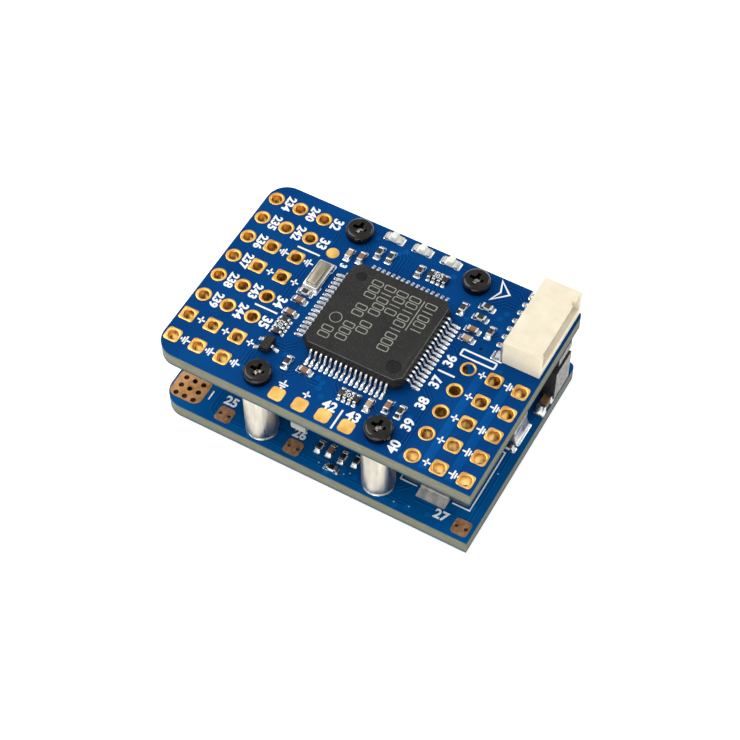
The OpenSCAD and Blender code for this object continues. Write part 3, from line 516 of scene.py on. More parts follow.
# Blue mask on the flat faces, and on the cut edges pale laminate with its glass layers and a blue lip
def boardFinish(name, shades, low, high):
    material = maskFinish(name, shades)
    tree = material.node_tree
    blue = tree.nodes["Principled BSDF"].inputs["Base Color"].links[0].from_socket
    rough = tree.nodes["Principled BSDF"].inputs["Roughness"].links[0].from_socket
    flat = facing(material, 2, 0.5, 0.8)
    where = tree.nodes["place"].outputs["Object"]
    share = spread(
        material, add(material, "ShaderNodeSeparateXYZ", Vector=where).outputs[2], 0.0, 1.0, low * mm, high * mm)
    layers = add(material, "ShaderNodeValToRGB", Fac=share)
    stops = [
        (0.0, (6, 52, 96)), (0.05, (65, 89, 104)), (0.14, (104, 113, 108)), (0.3, (128, 129, 113)),
        (0.34, (113, 116, 102)), (0.38, (130, 130, 114)), (0.62, (128, 128, 113)), (0.66, (113, 115, 101)),
        (0.7, (132, 132, 116)), (0.88, (117, 123, 111)), (0.95, (56, 91, 115)), (1.0, (2, 66, 130))
    ]
    ramp = layers.color_ramp.elements
    for position, colour in stops[1:-1]:
        ramp.new(position).color = tint(*colour)
    ramp[0].color, ramp[-1].color = tint(*stops[0][1]), tint(*stops[-1][1])
    squash = add(material, "ShaderNodeMapping", Vector=where)
    squash.inputs["Scale"].default_value = (1.0, 1.0, 6.0)
    fibres = useGroup(
        material, mottle, Vector=squash.outputs[0], Scale=1800.0, Dark=tint(200, 196, 182), Light=tint(255, 255, 250))
    edge = blend(material, 0.7, layers.outputs[0], fibres["Color"], "MULTIPLY")
    setShader(material, Base_Color=blend(material, flat, edge, blue))
    setShader(material, Roughness=add(material, "ShaderNodeMix", n0=flat, n2=0.62, n3=rough).outputs[0])
    return material


# Black nylon with a paler rough face where its strip was cut off at the end
def linkFinish():
    material = finish(
        "linkNylon", (24, 24, 26), (46, 46, 48), 700.0, (0.4, 0.5), (3800.0, 0.000012), Specular_IOR_Level=0.4)
    tree = material.node_tree
    dark = tree.nodes["Principled BSDF"].inputs["Base Color"].links[0].from_socket
    cut = useGroup(material, mottle, Scale=2600.0, Dark=tint(96, 96, 96), Light=tint(176, 174, 168))["Color"]
    end = facing(material, 0, 0.75, 0.9)
    setShader(material, Base_Color=blend(material, end, dark, cut), Roughness=spread(material, end, 0.45, 0.8))
    return material


# The same as a finish, on a metallic shader
def metal(name, dark, light, patches, rough, relief, **constants):
    return finish(name, dark, light, patches, rough, relief, Metallic=constants.pop("Metallic", 1.0), **constants)


blueBoard = boardFinish("blueBoard", boardLook["mask"], boardLow[2], boardHigh[2])
# The power board's finishes take its lightened shades: painted light
lightenedPowerBoard = boardFinish("lightenedPowerBoard", boardLook["powerMask"], powerLow[2], powerHigh[2])
copperMask = maskFinish("maskOverCopper", boardLook["copper"])
gapMask = maskFinish("maskOverLaminate", boardLook["gap"])
powerCopper = maskFinish("powerMaskOverCopper", boardLook["powerCopper"])
powerGap = maskFinish("powerMaskOverLaminate", boardLook["powerGap"])
gold = metal("goldPlating", (222, 164, 78), (252, 208, 124), 900.0, (0.28, 0.42), (5200.0, 0.000006))
dullGold = metal("tarnishedGold", (142, 104, 66), (188, 146, 100), 1100.0, (0.34, 0.5), (4200.0, 0.00001))
wornGold = metal("wornGold", (136, 98, 66), (190, 146, 104), 2400.0, (0.36, 0.52), (4200.0, 0.00001), Metallic=0.35)
solder = metal("brightSolder", (204, 206, 206), (248, 248, 244), 1300.0, (0.16, 0.32), (3000.0, 0.00001))
tinnedLead = metal("tinnedLeads", (212, 214, 214), (248, 248, 244), 1900.0, (0.18, 0.32), (5200.0, 0.000005))
tinnedPost = metal(
    "tinnedPost", (182, 177, 164), (232, 226, 210), 1100.0, (0.26, 0.48), (1500.0, 0.00003), stretch=(1, 1, 0.14))
nickelSheet = metal(
    "nickelSheet", (140, 133, 118), (186, 179, 162), 2200.0, (0.3, 0.44), (5200.0, 0.000006), stretch=(1, 0.12, 1))
satinTin = metal("satinTin", (190, 188, 182), (236, 234, 226), 1500.0, (0.26, 0.44), (3800.0, 0.000008))
blackSteel = metal(
    "blackOxide", (24, 22, 21), (46, 43, 41), 1300.0, (0.16, 0.28), (3800.0, 0.000004), Metallic=0.9,
    Coat_Weight=0.45, Coat_Roughness=0.06)
# Pale blue-white for the glints on vias: a painted highlight
viaGlintPaint = finish("viaGlintPaint", (110, 160, 200), (165, 205, 230), 900.0, (0.4, 0.6), (2400.0, 0.000003))
terminalTin = metal(
    "terminalTin", (150, 150, 144), (214, 214, 206), 1300.0, (0.3, 0.5), (3800.0, 0.000003), Metallic=0.45)
wornSteel = metal("wornSteel", (92, 90, 86), (232, 228, 220), 5200.0, (0.16, 0.34), (5200.0, 0.00003))
blackMould = finish(
    "blackMould", (19, 19, 19), (32, 32, 30), 420.0, (0.46, 0.6), (11000.0, 0.000012, 0.6), (124, 122, 116),
    (9000.0, 0.42, 0.22), 0.42, Specular_IOR_Level=0.3)
# Mid grey for the painted highlight along the processor's top edge
edgeHighlightGrey = finish("edgeHighlightGrey", (60, 62, 62), (118, 120, 120), 3000.0, (0.4, 0.55), (9000.0, 0.000004))
dimpleGloss = finish(
    "dimpleGloss", (6, 7, 9), (14, 15, 18), 1800.0, (0.4, 0.5), (9000.0, 0.000003), Specular_IOR_Level=0.25)
creamNylon = finish(
    "creamNylon", (225, 214, 187), (236, 228, 205), 600.0, (0.4, 0.55), (4200.0, 0.000005, 1.0), (176, 156, 124),
    (3200.0, 0.14, 0.05), 0.35, Specular_IOR_Level=0.35, Subsurface_Weight=0.1, Subsurface_Scale=0.0006)
linkNylon = linkFinish()
lightResin = finish(
    "lightResin", (214, 218, 206), (244, 244, 236), 1500.0, (0.12, 0.25), (2500.0, 0.000006, 1.0),
    Subsurface_Weight=0.25, Subsurface_Scale=0.0005)
whiteInk = finish(
    "whiteInk", (230, 234, 236), (250, 252, 252), 900.0, (0.45, 0.6), (5000.0, 0.000004), (170, 195, 220),
    (6000.0, 0.3, 0.06), 0.5)
laserMark = finish(
    "laserMark", (122, 121, 112), (158, 156, 146), 2600.0, (0.55, 0.7), (9000.0, 0.000006), (92, 91, 86),
    (9000.0, 0.4, 0.2))
blackGlaze = finish(
    "blackGlaze", (20, 20, 22), (36, 36, 38), 1400.0, (0.28, 0.42), (9000.0, 0.000004), (70, 70, 72),
    (9000.0, 0.3, 0.1), 0.4)
tanCeramic = finish(
    "tanCeramic", (156, 132, 96), (184, 158, 118), 1400.0, (0.36, 0.52), (9000.0, 0.000005), (118, 96, 64),
    (8000.0, 0.35, 0.18))
brownCeramic = finish(
    "brownCeramic", (122, 84, 54), (152, 110, 74), 1400.0, (0.36, 0.52), (9000.0, 0.000005), (86, 58, 36),
    (8000.0, 0.35, 0.18))
paleCeramic = finish(
    "paleCeramic", (228, 225, 210), (248, 246, 234), 1400.0, (0.4, 0.55), (9000.0, 0.000005), (196, 190, 168),
    (8000.0, 0.3, 0.12))
pressedPowder = finish(
    "pressedPowder", (50, 51, 54), (78, 79, 82), 900.0, (0.45, 0.62), (6000.0, 0.000014), (150, 150, 150),
    (7000.0, 0.4, 0.2), 0.4)
greyNylon = finish(
    "greyNylon", (118, 120, 112), (144, 145, 136), 1200.0, (0.42, 0.56), (5000.0, 0.000006), (94, 96, 90))
trayNylon = finish("trayNylon", (28, 28, 30), (50, 50, 52), 1200.0, (0.42, 0.56), (5000.0, 0.000006), (74, 74, 76))
greenLaminate = finish(
    "greenLaminate", (26, 66, 34), (44, 94, 50), 900.0, (0.4, 0.55), (5000.0, 0.000006), (92, 132, 82))
shuntCoat = finish("shuntCoat", (36, 46, 40), (54, 66, 56), 900.0, (0.4, 0.55), (5000.0, 0.000008), (84, 96, 84))
print("finishes made", len(bpy.data.materials))


# Gives a CAD node's own mesh a finish
def dress(node, material):
    slots = frame["nodes"][node].data.materials
    slots.clear()
    slots.append(material)


dress("upper_board", blueBoard)
dress("lower_board", lightenedPowerBoard)

padLook = {"lift": 0.04, "knee": 0.13, "gap": 0.07, "points": 32}


# A pad's outline at equal angles: |x|^n + |y|^n = 1 is a circle at n = 2 and a square as n grows
def padLoop(kind, half):
    power = {"round": 2.0, "soft": 5.5, "square": 60.0}[kind]
    turn = (np.arange(padLook["points"]) + 0.5) * 2 * math.pi / padLook["points"]
    c, s = np.cos(turn), np.sin(turn)
    radius = half / (np.abs(c) ** power + np.abs(s) ** power) ** (1 / power)
    return np.stack([c * radius, s * radius], -1)


# A flange, a round knee and a barrel through the board, then the same below, closed into one ring
def platedPad(x, y, kind, half, hole):
    outline, unit, knee, lift = padLoop(kind, half), padLoop("round", 1.0), padLook["knee"], padLook["lift"]
    top = [(outline, -0.01), (outline * (1 - 0.012 / half), lift - 0.006), (outline * (1 - 0.03 / half), lift)]
    top += [(unit * (hole + knee - knee * math.sin(t)), lift - knee * (1 - math.cos(t))) for t in np.linspace(0,
        math.pi / 2, 5)]
    loops = [(loop, topZ + z) for loop, z in top] + [(loop, undersideZ - z) for loop, z in top[::-1]]
    rings = [level(loop, (x, y), z) for loop, z in loops]
    return shell([*rings, rings[0]], lids=False)


# The opening of the mask round a pad: a thin ring from just inside the pad's outline to a gap outside it
def flatRing(x, y, kind, half, gap, z, up, height):
    inner, outer = padLoop(kind, half - 0.04), padLoop(kind, half + gap)
    heights = [(outer, -0.01), (outer * (1 - 0.02 / half), height), (inner, height), (inner, -0.01)]
    rings = [level(loop, (x, y), z + up * h) for loop, h in heights]
    return shell([*rings, rings[0]], lids=False)


holeRadius = {m["name"].split("_")[0]: m["dims"]["r_mm"] for m in frame["record"]["mounts"] if "_hole_" in m["name"]}
plated = []
for node, kind in (("round_pads", "round"), ("square_pads", "square"), ("soft_square_pads", "soft")):
    found = [(*middle(box)[:2], kind, (box[1] - box[0])[0] / 2) for box in islands(node)]
    plated += found
    pads = [platedPad(x, y, kind, half, holeRadius["wire" if x < 0 else "servo"]) for x, y, kind, half in found]
    makePiece(kind + "PlatedPads", [(pads, gold)], 45, replaces=[node])
rings = [flatRing(*pad, padLook["gap"], z, up, 0.008) for pad in plated for z, up in ((topZ, 1), (undersideZ, -1))]
for node, material in (("edge_pads", gold), ("battery_pads", dullGold), ("servo_pads", wornGold)):
    dress(node, material)
makePiece("maskOpenings", [(rings, gapMask)])
print("pads made", len(plated))

trackLook = {"width": 0.15, "gap": 0.12, "rise": 0.016, "pitch": 0.32}


# A path moved sideways by a distance, with its corners on the bisectors
def besidePath(path, distance):
    path = np.asarray(path, float)
    step = np.diff(path, axis=0)
    step /= np.linalg.norm(step, axis=1)[:, None]
    after = np.vstack([step, step[-1:]])
    along = np.vstack([step[:1], step]) + after
    along /= np.linalg.norm(along, axis=1)[:, None]
    side = np.stack([-along[:, 1], along[:, 0]], -1) / (along * after).sum(1)[:, None]
    return path + side * distance


# Bundles of tracks: (points of the first, how many side by side), and where they end there is a filled hole
upperBundles = [
    ([(-4.9, -4.3), (-5.6, -5.0), (-7.3, -5.0), (-8.1, -5.8), (-8.1, -8.9)], 3),
    ([(-3.2, -6.0), (-3.2, -6.6), (-4.0, -7.4), (-4.9, -7.4)], 2),
    ([(-2.5, -6.0), (-2.5, -7.0), (-1.9, -7.6), (-0.7, -7.6)], 3),
    ([(0.2, -6.0), (0.2, -6.6), (1.0, -7.4), (1.0, -8.3)], 2),
    ([(3.7, -6.0), (3.7, -6.6), (4.6, -7.5), (5.2, -7.5)], 2),
    ([(6.9, -3.3), (7.3, -3.3), (8.2, -4.2), (8.2, -9.6)], 2),
    ([(6.9, -1.1), (7.2, -1.1), (8.0, -0.3), (8.0, 1.0)], 2),
    ([(6.9, 1.7), (7.5, 1.7), (8.1, 1.1), (9.2, 1.1), (10.0, 0.3)], 2),
    ([(6.9, 3.2), (7.3, 3.2), (7.9, 3.8), (9.5, 3.8), (10.7, 5.0)], 3),
    ([(7.0, 7.0), (8.2, 7.0), (9.3, 8.1), (10.7, 8.1)], 3), ([(-0.7, 6.4), (-0.7, 8.6), (-1.3, 9.2)], 4),
    ([(3.1, 6.4), (3.1, 7.2), (3.8, 7.9), (3.8, 8.8)], 2), ([(-4.4, 6.4), (-4.4, 7.9), (-5.1, 8.6), (-5.1, 9.4)], 2),
    ([(-5.4, -1.4), (-6.0, -1.4), (-6.6, -2.0), (-8.3, -2.0), (-8.9, -2.6)], 2),
    ([(-7.9, 8.0), (-7.9, 5.4), (-8.6, 4.7), (-8.6, -1.0)], 2), ([(-6.6, 10.0), (5.2, 10.0)], 1),
    ([(6.9, 9.9), (9.8, 9.9), (10.8, 8.9)], 2)
]
powerBundles = [
    ([(-11.2, -7.2), (-11.2, -9.6), (-10.6, -10.2), (9.5, -10.2)], 2),
    ([(-8.4, -8.4), (-7.2, -8.4), (-6.6, -9.0), (-3.9, -9.0)], 2), ([(-1.2, -8.6), (-0.4, -9.4), (2.6, -9.4)], 2),
    ([(4.2, -8.7), (4.9, -9.4), (7.6, -9.4), (9.6, -7.4)], 2),
    ([(9.6, -9.2), (14.7, -9.2), (15.1, -8.8), (15.1, 6.0)], 2), ([(-14.6, 4.6), (-14.6, -4.6)], 3),
    ([(-7.0, 9.8), (6.0, 9.8), (7.0, 8.8)], 2), ([(-9.0, 2.2), (-9.0, 8.6), (-8.4, 9.2)], 2)
]
underBundles = [
    ([(-8.6, 9.2), (-8.6, -9.2)], 2), ([(-8.0, 8.4), (9.5, 8.4)], 1),
    ([(6.6, -8.6), (6.6, 1.2), (8.2, 2.8), (8.2, 5.0)], 4),
    ([(-2.0, -2.0), (0.6, -2.0), (1.4, -1.2), (8.0, -1.2)], 4), ([(-8.2, -8.9), (5.4, -8.9)], 2)
]
baseBundles = [
    ([(-14.0, 9.0), (-14.0, -9.0)], 4), ([(-11.0, 9.9), (14.0, 9.9)], 3),
    ([(-8.0, 5.0), (-4.0, 1.0), (9.0, 1.0), (12.0, -2.0), (12.0, -8.0)], 6),
    ([(-8.0, -2.0), (2.0, -2.0), (5.0, -5.0), (5.0, -8.6)], 5)
]
vias = {
    "upper": [
        (-6.9, -9.4), (-5.0, -5.9), (-1.3, -6.7), (2.5, -6.6), (5.9, -5.9), (7.6, -6.4), (7.5, 0.9), (9.6, 6.6),
        (9.9, 7.4), (7.0, 5.2), (-2.2, 7.3), (2.0, 8.2), (5.0, 9.0), (-7.9, 6.9), (12.2, 1.5), (-4.3, 9.4),
        (8.9, -10.2), (-0.1, -8.3)
    ],
    "power": [
        (-13.2, -6.1), (-8.0, -7.4), (-5.6, -7.6), (1.4, -10.4), (2.7, -9.9), (4.0, -9.7), (5.3, -10.3), (6.4, -8.2),
        (-3.4, -10.4), (11.4, -9.9), (14.6, -7.4), (14.9, 3.0), (-6.6, -10.6), (8.4, -10.4), (3.3, -8.0),
        (-12.6, 0.6), (-0.9, -7.5)
    ]
}
viaLook = [(0.3, -0.01), (0.27, 0.018), (0.17, 0.022), (0.1, 0.006), (0.05, 0.004)]
for name, copper, gap, layers, spots in (
        ("processor", copperMask, gapMask, ((upperBundles, topZ, 1), (underBundles, undersideZ, -1)), vias["upper"]),
        ("power", powerCopper, powerGap, ((powerBundles, powerZ, 1), (baseBundles, floorZ, -1)), vias["power"])):
    copperStrips, gapStrips = [], []
    for bundles, z, up in layers:
        for points, count in bundles:
            lines = [besidePath(points, k * trackLook["pitch"]) for k in range(count)]
            copperStrips += [ribbon(line, trackLook["width"], trackLook["rise"] if z else 0.002, z,
                up) for line in lines]
            middleLine = besidePath(points, (count - 1) / 2 * trackLook["pitch"])
            gapStrips.append(
                ribbon(
                    middleLine, count * trackLook["pitch"] + trackLook["gap"] * 0.6,
                    trackLook["rise"] * 0.4 if z else 0.001, z, up, edge=0.05))
            copperStrips += [turnedSolid(*line[-1], z, viaLook if z else [(0.3, -0.01), (0.28, 0.002)], 16,
                up) for line in lines[::2]]
    copperStrips += [turnedSolid(x, y, layers[0][1], viaLook, 16) for x, y in spots]
    if name == "processor":
        columnsX = sorted({round(x, 2) for x, *_ in plated})
        between = [(a + b) / 2 for a, b in zip(columnsX, columnsX[1:]) if a > 0]
        copperStrips += [ribbon([(x, frontY + 0.4), (x, 1.0)], 0.86, 0.006, topZ, edge=0.05) for x in between]
    makePiece(name + "Tracks", [(copperStrips, copper)])
    makePiece(name + "Gaps", [(gapStrips, gap)])
# Pale discs on vias near the front chips of the power board: a painted highlight, the glint on each via
viaGlintSpots = [(0.4 + 0.75 * k + 0.3 * (k % 2), -9.9 + 0.35 * (k % 3)) for k in range(9)] + [(-6.2, -9.6), (-5.4, -9.9),
    (8.2, -10.2), (9.6, -10.0), (14.9, -3.2)]
makePiece(
    "paintedViaGlints",
    [([turnedSolid(x, y, powerZ, [(0.09, -0.01), (0.08, 0.02), (0.03, 0.026)], 12) for x, y in viaGlintSpots], viaGlintPaint)])
print("tracks made")

chipBodies = {
    "resistor_bodies": blackGlaze, "tan_capacitor_bodies": tanCeramic, "brown_capacitor_bodies": brownCeramic
}
chipLook = {"edge": 0.035, "capEdge": 0.06, "glaze": 0.06, "reach": 0.3, "side": 0.06, "solder": 0.3}
allBodies = []
for node, material in chipBodies.items():
    found = islands(node)
    allBodies += found
    if node == "resistor_bodies":
        cores, tops = [], []
        for box in found:
            z, up = footing(box)
            core, top = box.copy(), box.copy()
            far = 1 if up > 0 else 0
            core[far][2] -= up * chipLook["glaze"]
            top[1 - far][2] = core[far][2]
            top[far][2] += up * 0.012
            cores.append(softBlock(core, 0.02, 0.03))
            top[0][:2] += 0.02
            top[1][:2] -= 0.02
            tops.append(softBlock(top, 0.03, 0.04))
        makePiece("resistorChips", [(cores, paleCeramic), (tops, material)], replaces=[node])
    else:
        makePiece(
            node.replace("_bodies", "Chips").replace("_", ""),
            [(softBlocks(found, chipLook["edge"], 0.04), material)], replaces=[node])
caps = islands("chip_end_caps")
fillets = skirts(caps, allBodies, chipLook["reach"], chipLook["side"], chipLook["solder"])
makePiece(
    "chipEnds", [(softBlocks(caps, chipLook["capEdge"], 0.07), tinnedLead), (fillets, solder)],
    replaces=["chip_end_caps"])

arrayLook = {"edge": 0.035, "capEdge": 0.05, "reach": 0.22, "side": 0.02, "solder": 0.14, "figures": 0.46}
arrayBodies = islands("resistor_array_bodies")
arrayEnds = islands("resistor_array_terminals")
makePiece(
    "arrayBodies", [(softBlocks(arrayBodies, arrayLook["edge"], 0.04), blackGlaze)],
    replaces=["resistor_array_bodies"])
fillets = skirts(arrayEnds, arrayBodies, arrayLook["reach"], arrayLook["side"], arrayLook["solder"])
makePiece(
    "arrayTerminals", [(softBlocks(arrayEnds, arrayLook["capEdge"], 0.07), tinnedLead), (fillets, solder)],
    replaces=["resistor_array_terminals"])
code = figures("202", arrayLook["figures"], 0.0, 0.004)
codes = [setFigures(code, *middle(box)[:2], box[1][2] + 0.002, 90 * longAxis(box)) for box in arrayBodies]
makePiece("arrayCodes", [(codes, whiteInk)])
print("small chips made", len(allBodies))

# Body, leads, thickness, length of foot, edge
packages = [
    ("processor_body", "processor_leads", 0.13, 0.5, 0.08), ("transistor_body", "transistor_leads", 0.12, 0.2, 0.04),
    ("video_chip_body", "video_chip_leads", 0.13, 0.5, 0.05),
    ("memory_chip_body", "memory_chip_leads", 0.2, 0.5, 0.06),
    ("regulator_bodies", "regulator_leads", 0.13, 0.3, 0.05), ("converter_bodies", "converter_leads", 0.2, 0.5, 0.06)
]
for bodyNode, leadNode, thick, foot, edge in packages:
    bodies, leads = islands(bodyNode), islands(leadNode)
    away = [outwardFrom(bodies, box) for box in leads]
    bars = [gullLead(box, out, thick, foot) for box, out in zip(leads, away)]
    blobs = [solderSkirt(leadFoot(box, out, foot, thick), out, thick * 2.1, thick * 0.35, thick * 1.15, 1.5)
             for box, out in zip(leads, away)]
    makePiece(leadNode.replace("_", ""), [(bars, tinnedLead), (blobs, solder)], 40, replaces=[leadNode])
    easedCopy(bodyNode.replace("_", ""), bodyNode, edge, blackMould)
print("packages made", len(packages))

# Rows of plain outlined blocks and bars on the processor: (across, start, pattern) from its middle, where b is a
# block, i a bar and a dot a space
markLook = {
    "height": 1.0, "width": 0.52, "pitch": 0.74, "stroke": 0.12, "rise": 0.006,
    "dimples": ((-3.6, 3.6, 0.49), (3.6, -3.6, 0.69)), "sink": 0.055
}
markRows = [
    (3.4, 3.9, "bibbi"), (1.8, 3.9, "bbibbibbb"), (0.52, 3.9, "bbib"), (-0.72, 3.9, "bibbb.bb"),
    (-1.98, 3.9, "bbb.bb.bbb"), (-3.45, -2.5, "bb")
]
chipBox = np.array([list(corner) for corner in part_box("processor_body")]) / mm
chipX, chipY, chipZ = (*middle(chipBox)[:2], chipBox[1][2])
marks = []
for across, start, pattern in markRows:
    for k, kind in enumerate(pattern):
        x, y = chipX + across, chipY + start - k * markLook["pitch"]
        h, w = markLook["height"] / 2, markLook["width"]
        if kind == "b":
            loop = roundRect(h, w / 2, 0.12, 3) + [x, y - w / 2]
            marks.append(ribbon(loop, markLook["stroke"], markLook["rise"], chipZ, edge=0.02, closed=True))
        if kind == "i":
            marks.append(
                ribbon(
                    [(x - h, y - w / 2), (x + h, y - w / 2)], markLook["stroke"], markLook["rise"], chipZ, edge=0.02))
turn = np.linspace(0, 2 * math.pi, 25)[:-1]
circle = np.stack([np.cos(turn), np.sin(turn)], -1)
marks.append(ribbon(circle * 0.55 + [chipX - 3.4, chipY - 1.4], 0.1, markLook["rise"], chipZ, edge=0.02, closed=True))
marks.append(
    ribbon([(chipX + 2.62, chipY + 3.9), (chipX + 2.62, chipY + 0.3)], 0.12, markLook["rise"], chipZ, edge=0.02))
floors = [turnedSolid(chipX + x, chipY + y, chipZ - markLook["sink"], [(r, 0), (r, 0.012), (r * 0.92, 0.016)], 32)
          for x, y, r in markLook["dimples"]]
makePiece("processorMarks", [(marks, laserMark)])

# A painted highlight on the upper edge of the processor's body: a paler strip along its front and right sides, where
# light catches the edge
edgeHighlightLook = {"inset": 0.185, "corner": 0.575, "width": 0.07, "rise": 0.004}
out, corner = (chipBox[1] - chipBox[0])[0] / 2 - edgeHighlightLook["inset"], edgeHighlightLook["corner"]
edgeHighlightPath = np.array([(corner - out, -out), (out - corner, -out), (out, corner - out), (out, out - corner)]) + [chipX,
    chipY]
makePiece("paintedEdgeHighlight", [([ribbon(edgeHighlightPath, edgeHighlightLook["width"], edgeHighlightLook["rise"], chipZ, edge=0.015)], edgeHighlightGrey)])
makePiece("dimpleFloors", [(floors, dimpleGloss)])

crystalLook = {
    "flange": 0.26, "tray": 0.03, "corner": 0.14, "reach": 0.32, "solder": 0.25,
    "lid": [(0, 0), (0, 0.3), (0.02, 0.38), (0.13, 0.42), (0.15, 0.5), (0.15, 0.85), (0.17, 0.95), (0.22, 1)]
}
crystals = islands("crystal_bases")
flanges, trays = [], []
for box in crystals:
    z, up = footing(box)
    tray, flange = box.copy(), box.copy()
    far = int(up > 0)
    tray[far][2] -= up * crystalLook["flange"]
    flange[1 - far][2] = tray[far][2]
    tray[0][:2] += crystalLook["tray"]
    tray[1][:2] -= crystalLook["tray"]
    trays.append(softBlock(tray, 0.04, 0.12))
    flanges.append(softBlock(flange, 0.05, crystalLook["corner"]))
makePiece("crystalBases", [(trays, paleCeramic), (flanges, tinnedLead)], replaces=["crystal_bases"])
lids = []
for box in islands("crystal_lids"):
    z, up = footing(box)
    steps = crystalLook["lid"] if up > 0 else [(n, 1 - s) for n, s in crystalLook["lid"][::-1]]
    lids.append(steppedBlock(box, steps, 0.22))
makePiece("crystalLids", [(lids, nickelSheet)], 30, replaces=["crystal_lids"])
fillets = []
for box in crystals:
    z, up = footing(box)
    axis = longAxis(box)
    for side in (-1, 1):
        end, out = box.copy(), np.eye(2)[axis] * side
        end[0 if side > 0 else 1][axis] = box[1 if side > 0 else 0][axis] - side * 0.6
        end[:, 2] = sorted([z, z + up * 0.3])
        fillets.append(solderSkirt(end, out, crystalLook["reach"], 0.1, crystalLook["solder"]))
makePiece("crystalSolder", [(fillets, solder)])

# The lens runs in a little from both ends of its base, and its steps are (inset, share of the height)
lightLens = {"inset": 0.17, "steps": [(0, 0), (0.01, 0.3), (0.04, 0.75), (0.07, 0.93), (0.13, 1)]}
lightEnds, lightBases = islands("status_light_terminals"), islands("status_light_bases")
makePiece("lightBases", [(softBlocks(lightBases, 0.03, 0.03), paleCeramic)], replaces=["status_light_bases"])
lenses = []
for box in lightBases:
    lens = box.copy()
    lens[:, longAxis(box)] += [lightLens["inset"], -lightLens["inset"]]
    lens[:, 2] = box[1][2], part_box("status_light_lenses")[1][2] / mm
    lenses.append(steppedBlock(lens, lightLens["steps"], 0.12))
makePiece("lightLenses", [(lenses, lightResin)], replaces=["status_light_lenses"])
fillets = skirts(lightEnds, lightBases, 0.22, 0.06, 0.16)
makePiece(
    "lightTerminals", [(softBlocks(lightEnds, 0.03, 0.03), satinTin), (fillets, solder)],
    replaces=["status_light_terminals"])
print("crystals and lights made")

# Name, CAD node, edge and finish
easedNodes = [
    ("cableHousing", "cable_socket_housing", 0.07, creamNylon),
    ("cableContacts", "cable_socket_contacts", 0.04, tinnedLead), ("cableTabs", "cable_socket_tabs", 0.05, satinTin),
    ("linkHousing", "link_socket_housing", 0.05, linkNylon), ("linkBase", "link_header_base", 0.05, linkNylon),
    ("motionSensor", "motion_sensor", 0.05, blackMould),
    ("pressureBase", "pressure_sensor_base", 0.03, greenLaminate),
    ("pressureLid", "pressure_sensor_lid", 0.07, nickelSheet), ("buttonTray", "boot_button_body", 0.05, trayNylon),
    ("buttonCover", "boot_button_cover", 0.03, nickelSheet),
    ("buttonTerminals", "boot_button_terminals", 0.04, satinTin),
    ("chokeTerminals", "choke_terminals", 0.04, terminalTin), ("currentShunt", "current_shunt", 0.08, shuntCoat),
    ("shuntTerminals", "shunt_terminals", 0.1, satinTin)
]
for name, node, edge, material in easedNodes:
    easedCopy(name, node, edge, material)
easedCopy("crossScrews", "screws", 0.05, blackSteel, limit=35)
easedCopy("buttonPlunger", "boot_button_plunger", 0.06, greyNylon, body="button")
easedCopy("chokeBodies", "choke_bodies", 0.14, pressedPowder, 3)
for node, material in (("link_socket_contacts", gold), ("link_header_pins", gold), ("boot_button_leaf", nickelSheet)):
    dress(node, material)

# The worn bottom of the cross recess: (radius, height) from the top of the head
recess = [(0.3, -0.42), (0.24, -0.44), (0.1, -0.5)]
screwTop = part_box("screws")[1][2] / mm
floors = [turnedSolid(*middle(box)[:2], screwTop, recess, 24) for box in islands("screws")]
makePiece("recessFloors", [(floors, wornSteel)])

# Reach, side, height and power of the solder at each kind of terminal
jointLook = {
    "contact": (0.3, 0.14, 0.22, 1.6), "tab": (0.4, 0.14, 0.35, 1.6), "choke": (0.9, 0.06, 0.5, 1.1),
    "shunt": (0.5, 0.1, 0.4), "bulk": (0.5, 0.1, 0.9)
}
fillets = []
for box in islands("cable_socket_contacts"):
    foot = box.copy()
    foot[1][0], foot[1][2] = box[0][0] + 0.5, topZ + 0.2
    fillets.append(solderSkirt(foot, np.array([-1.0, 0]), *jointLook["contact"]))
for box in islands("cable_socket_tabs"):
    foot = box.copy()
    foot[1][2] = topZ + 0.2
    fillets.append(solderSkirt(foot, np.array([-1.0, 0]), *jointLook["tab"]))
chokes = islands("choke_bodies")
reach, side, share, power = jointLook["choke"]
tabs = [solderSkirt(box, outwardFrom(chokes, box), reach, side, np.ptp(box[:, 2]) * share, power)
        for box in islands("choke_terminals")]
makePiece("chokeTabs", [(tabs, terminalTin)])
fillets += skirts(islands("shunt_terminals"), islands("current_shunt"), *jointLook["shunt"])
makePiece("jointSolder", [(fillets, solder)])
print("eased copies made")

bulkBodies, bulkEnds = islands("bulk_capacitor_bodies"), islands("bulk_capacitor_ends")
makePiece("bulkBodies", [(softBlocks(bulkBodies, 0.06, 0.08), brownCeramic)], replaces=["bulk_capacitor_bodies"])
fillets = skirts(bulkEnds, bulkBodies, *jointLook["bulk"])
makePiece(
    "bulkEnds", [(softBlocks(bulkEnds, 0.12, 0.14), satinTin), (fillets, solder)], replaces=["bulk_capacitor_ends"])

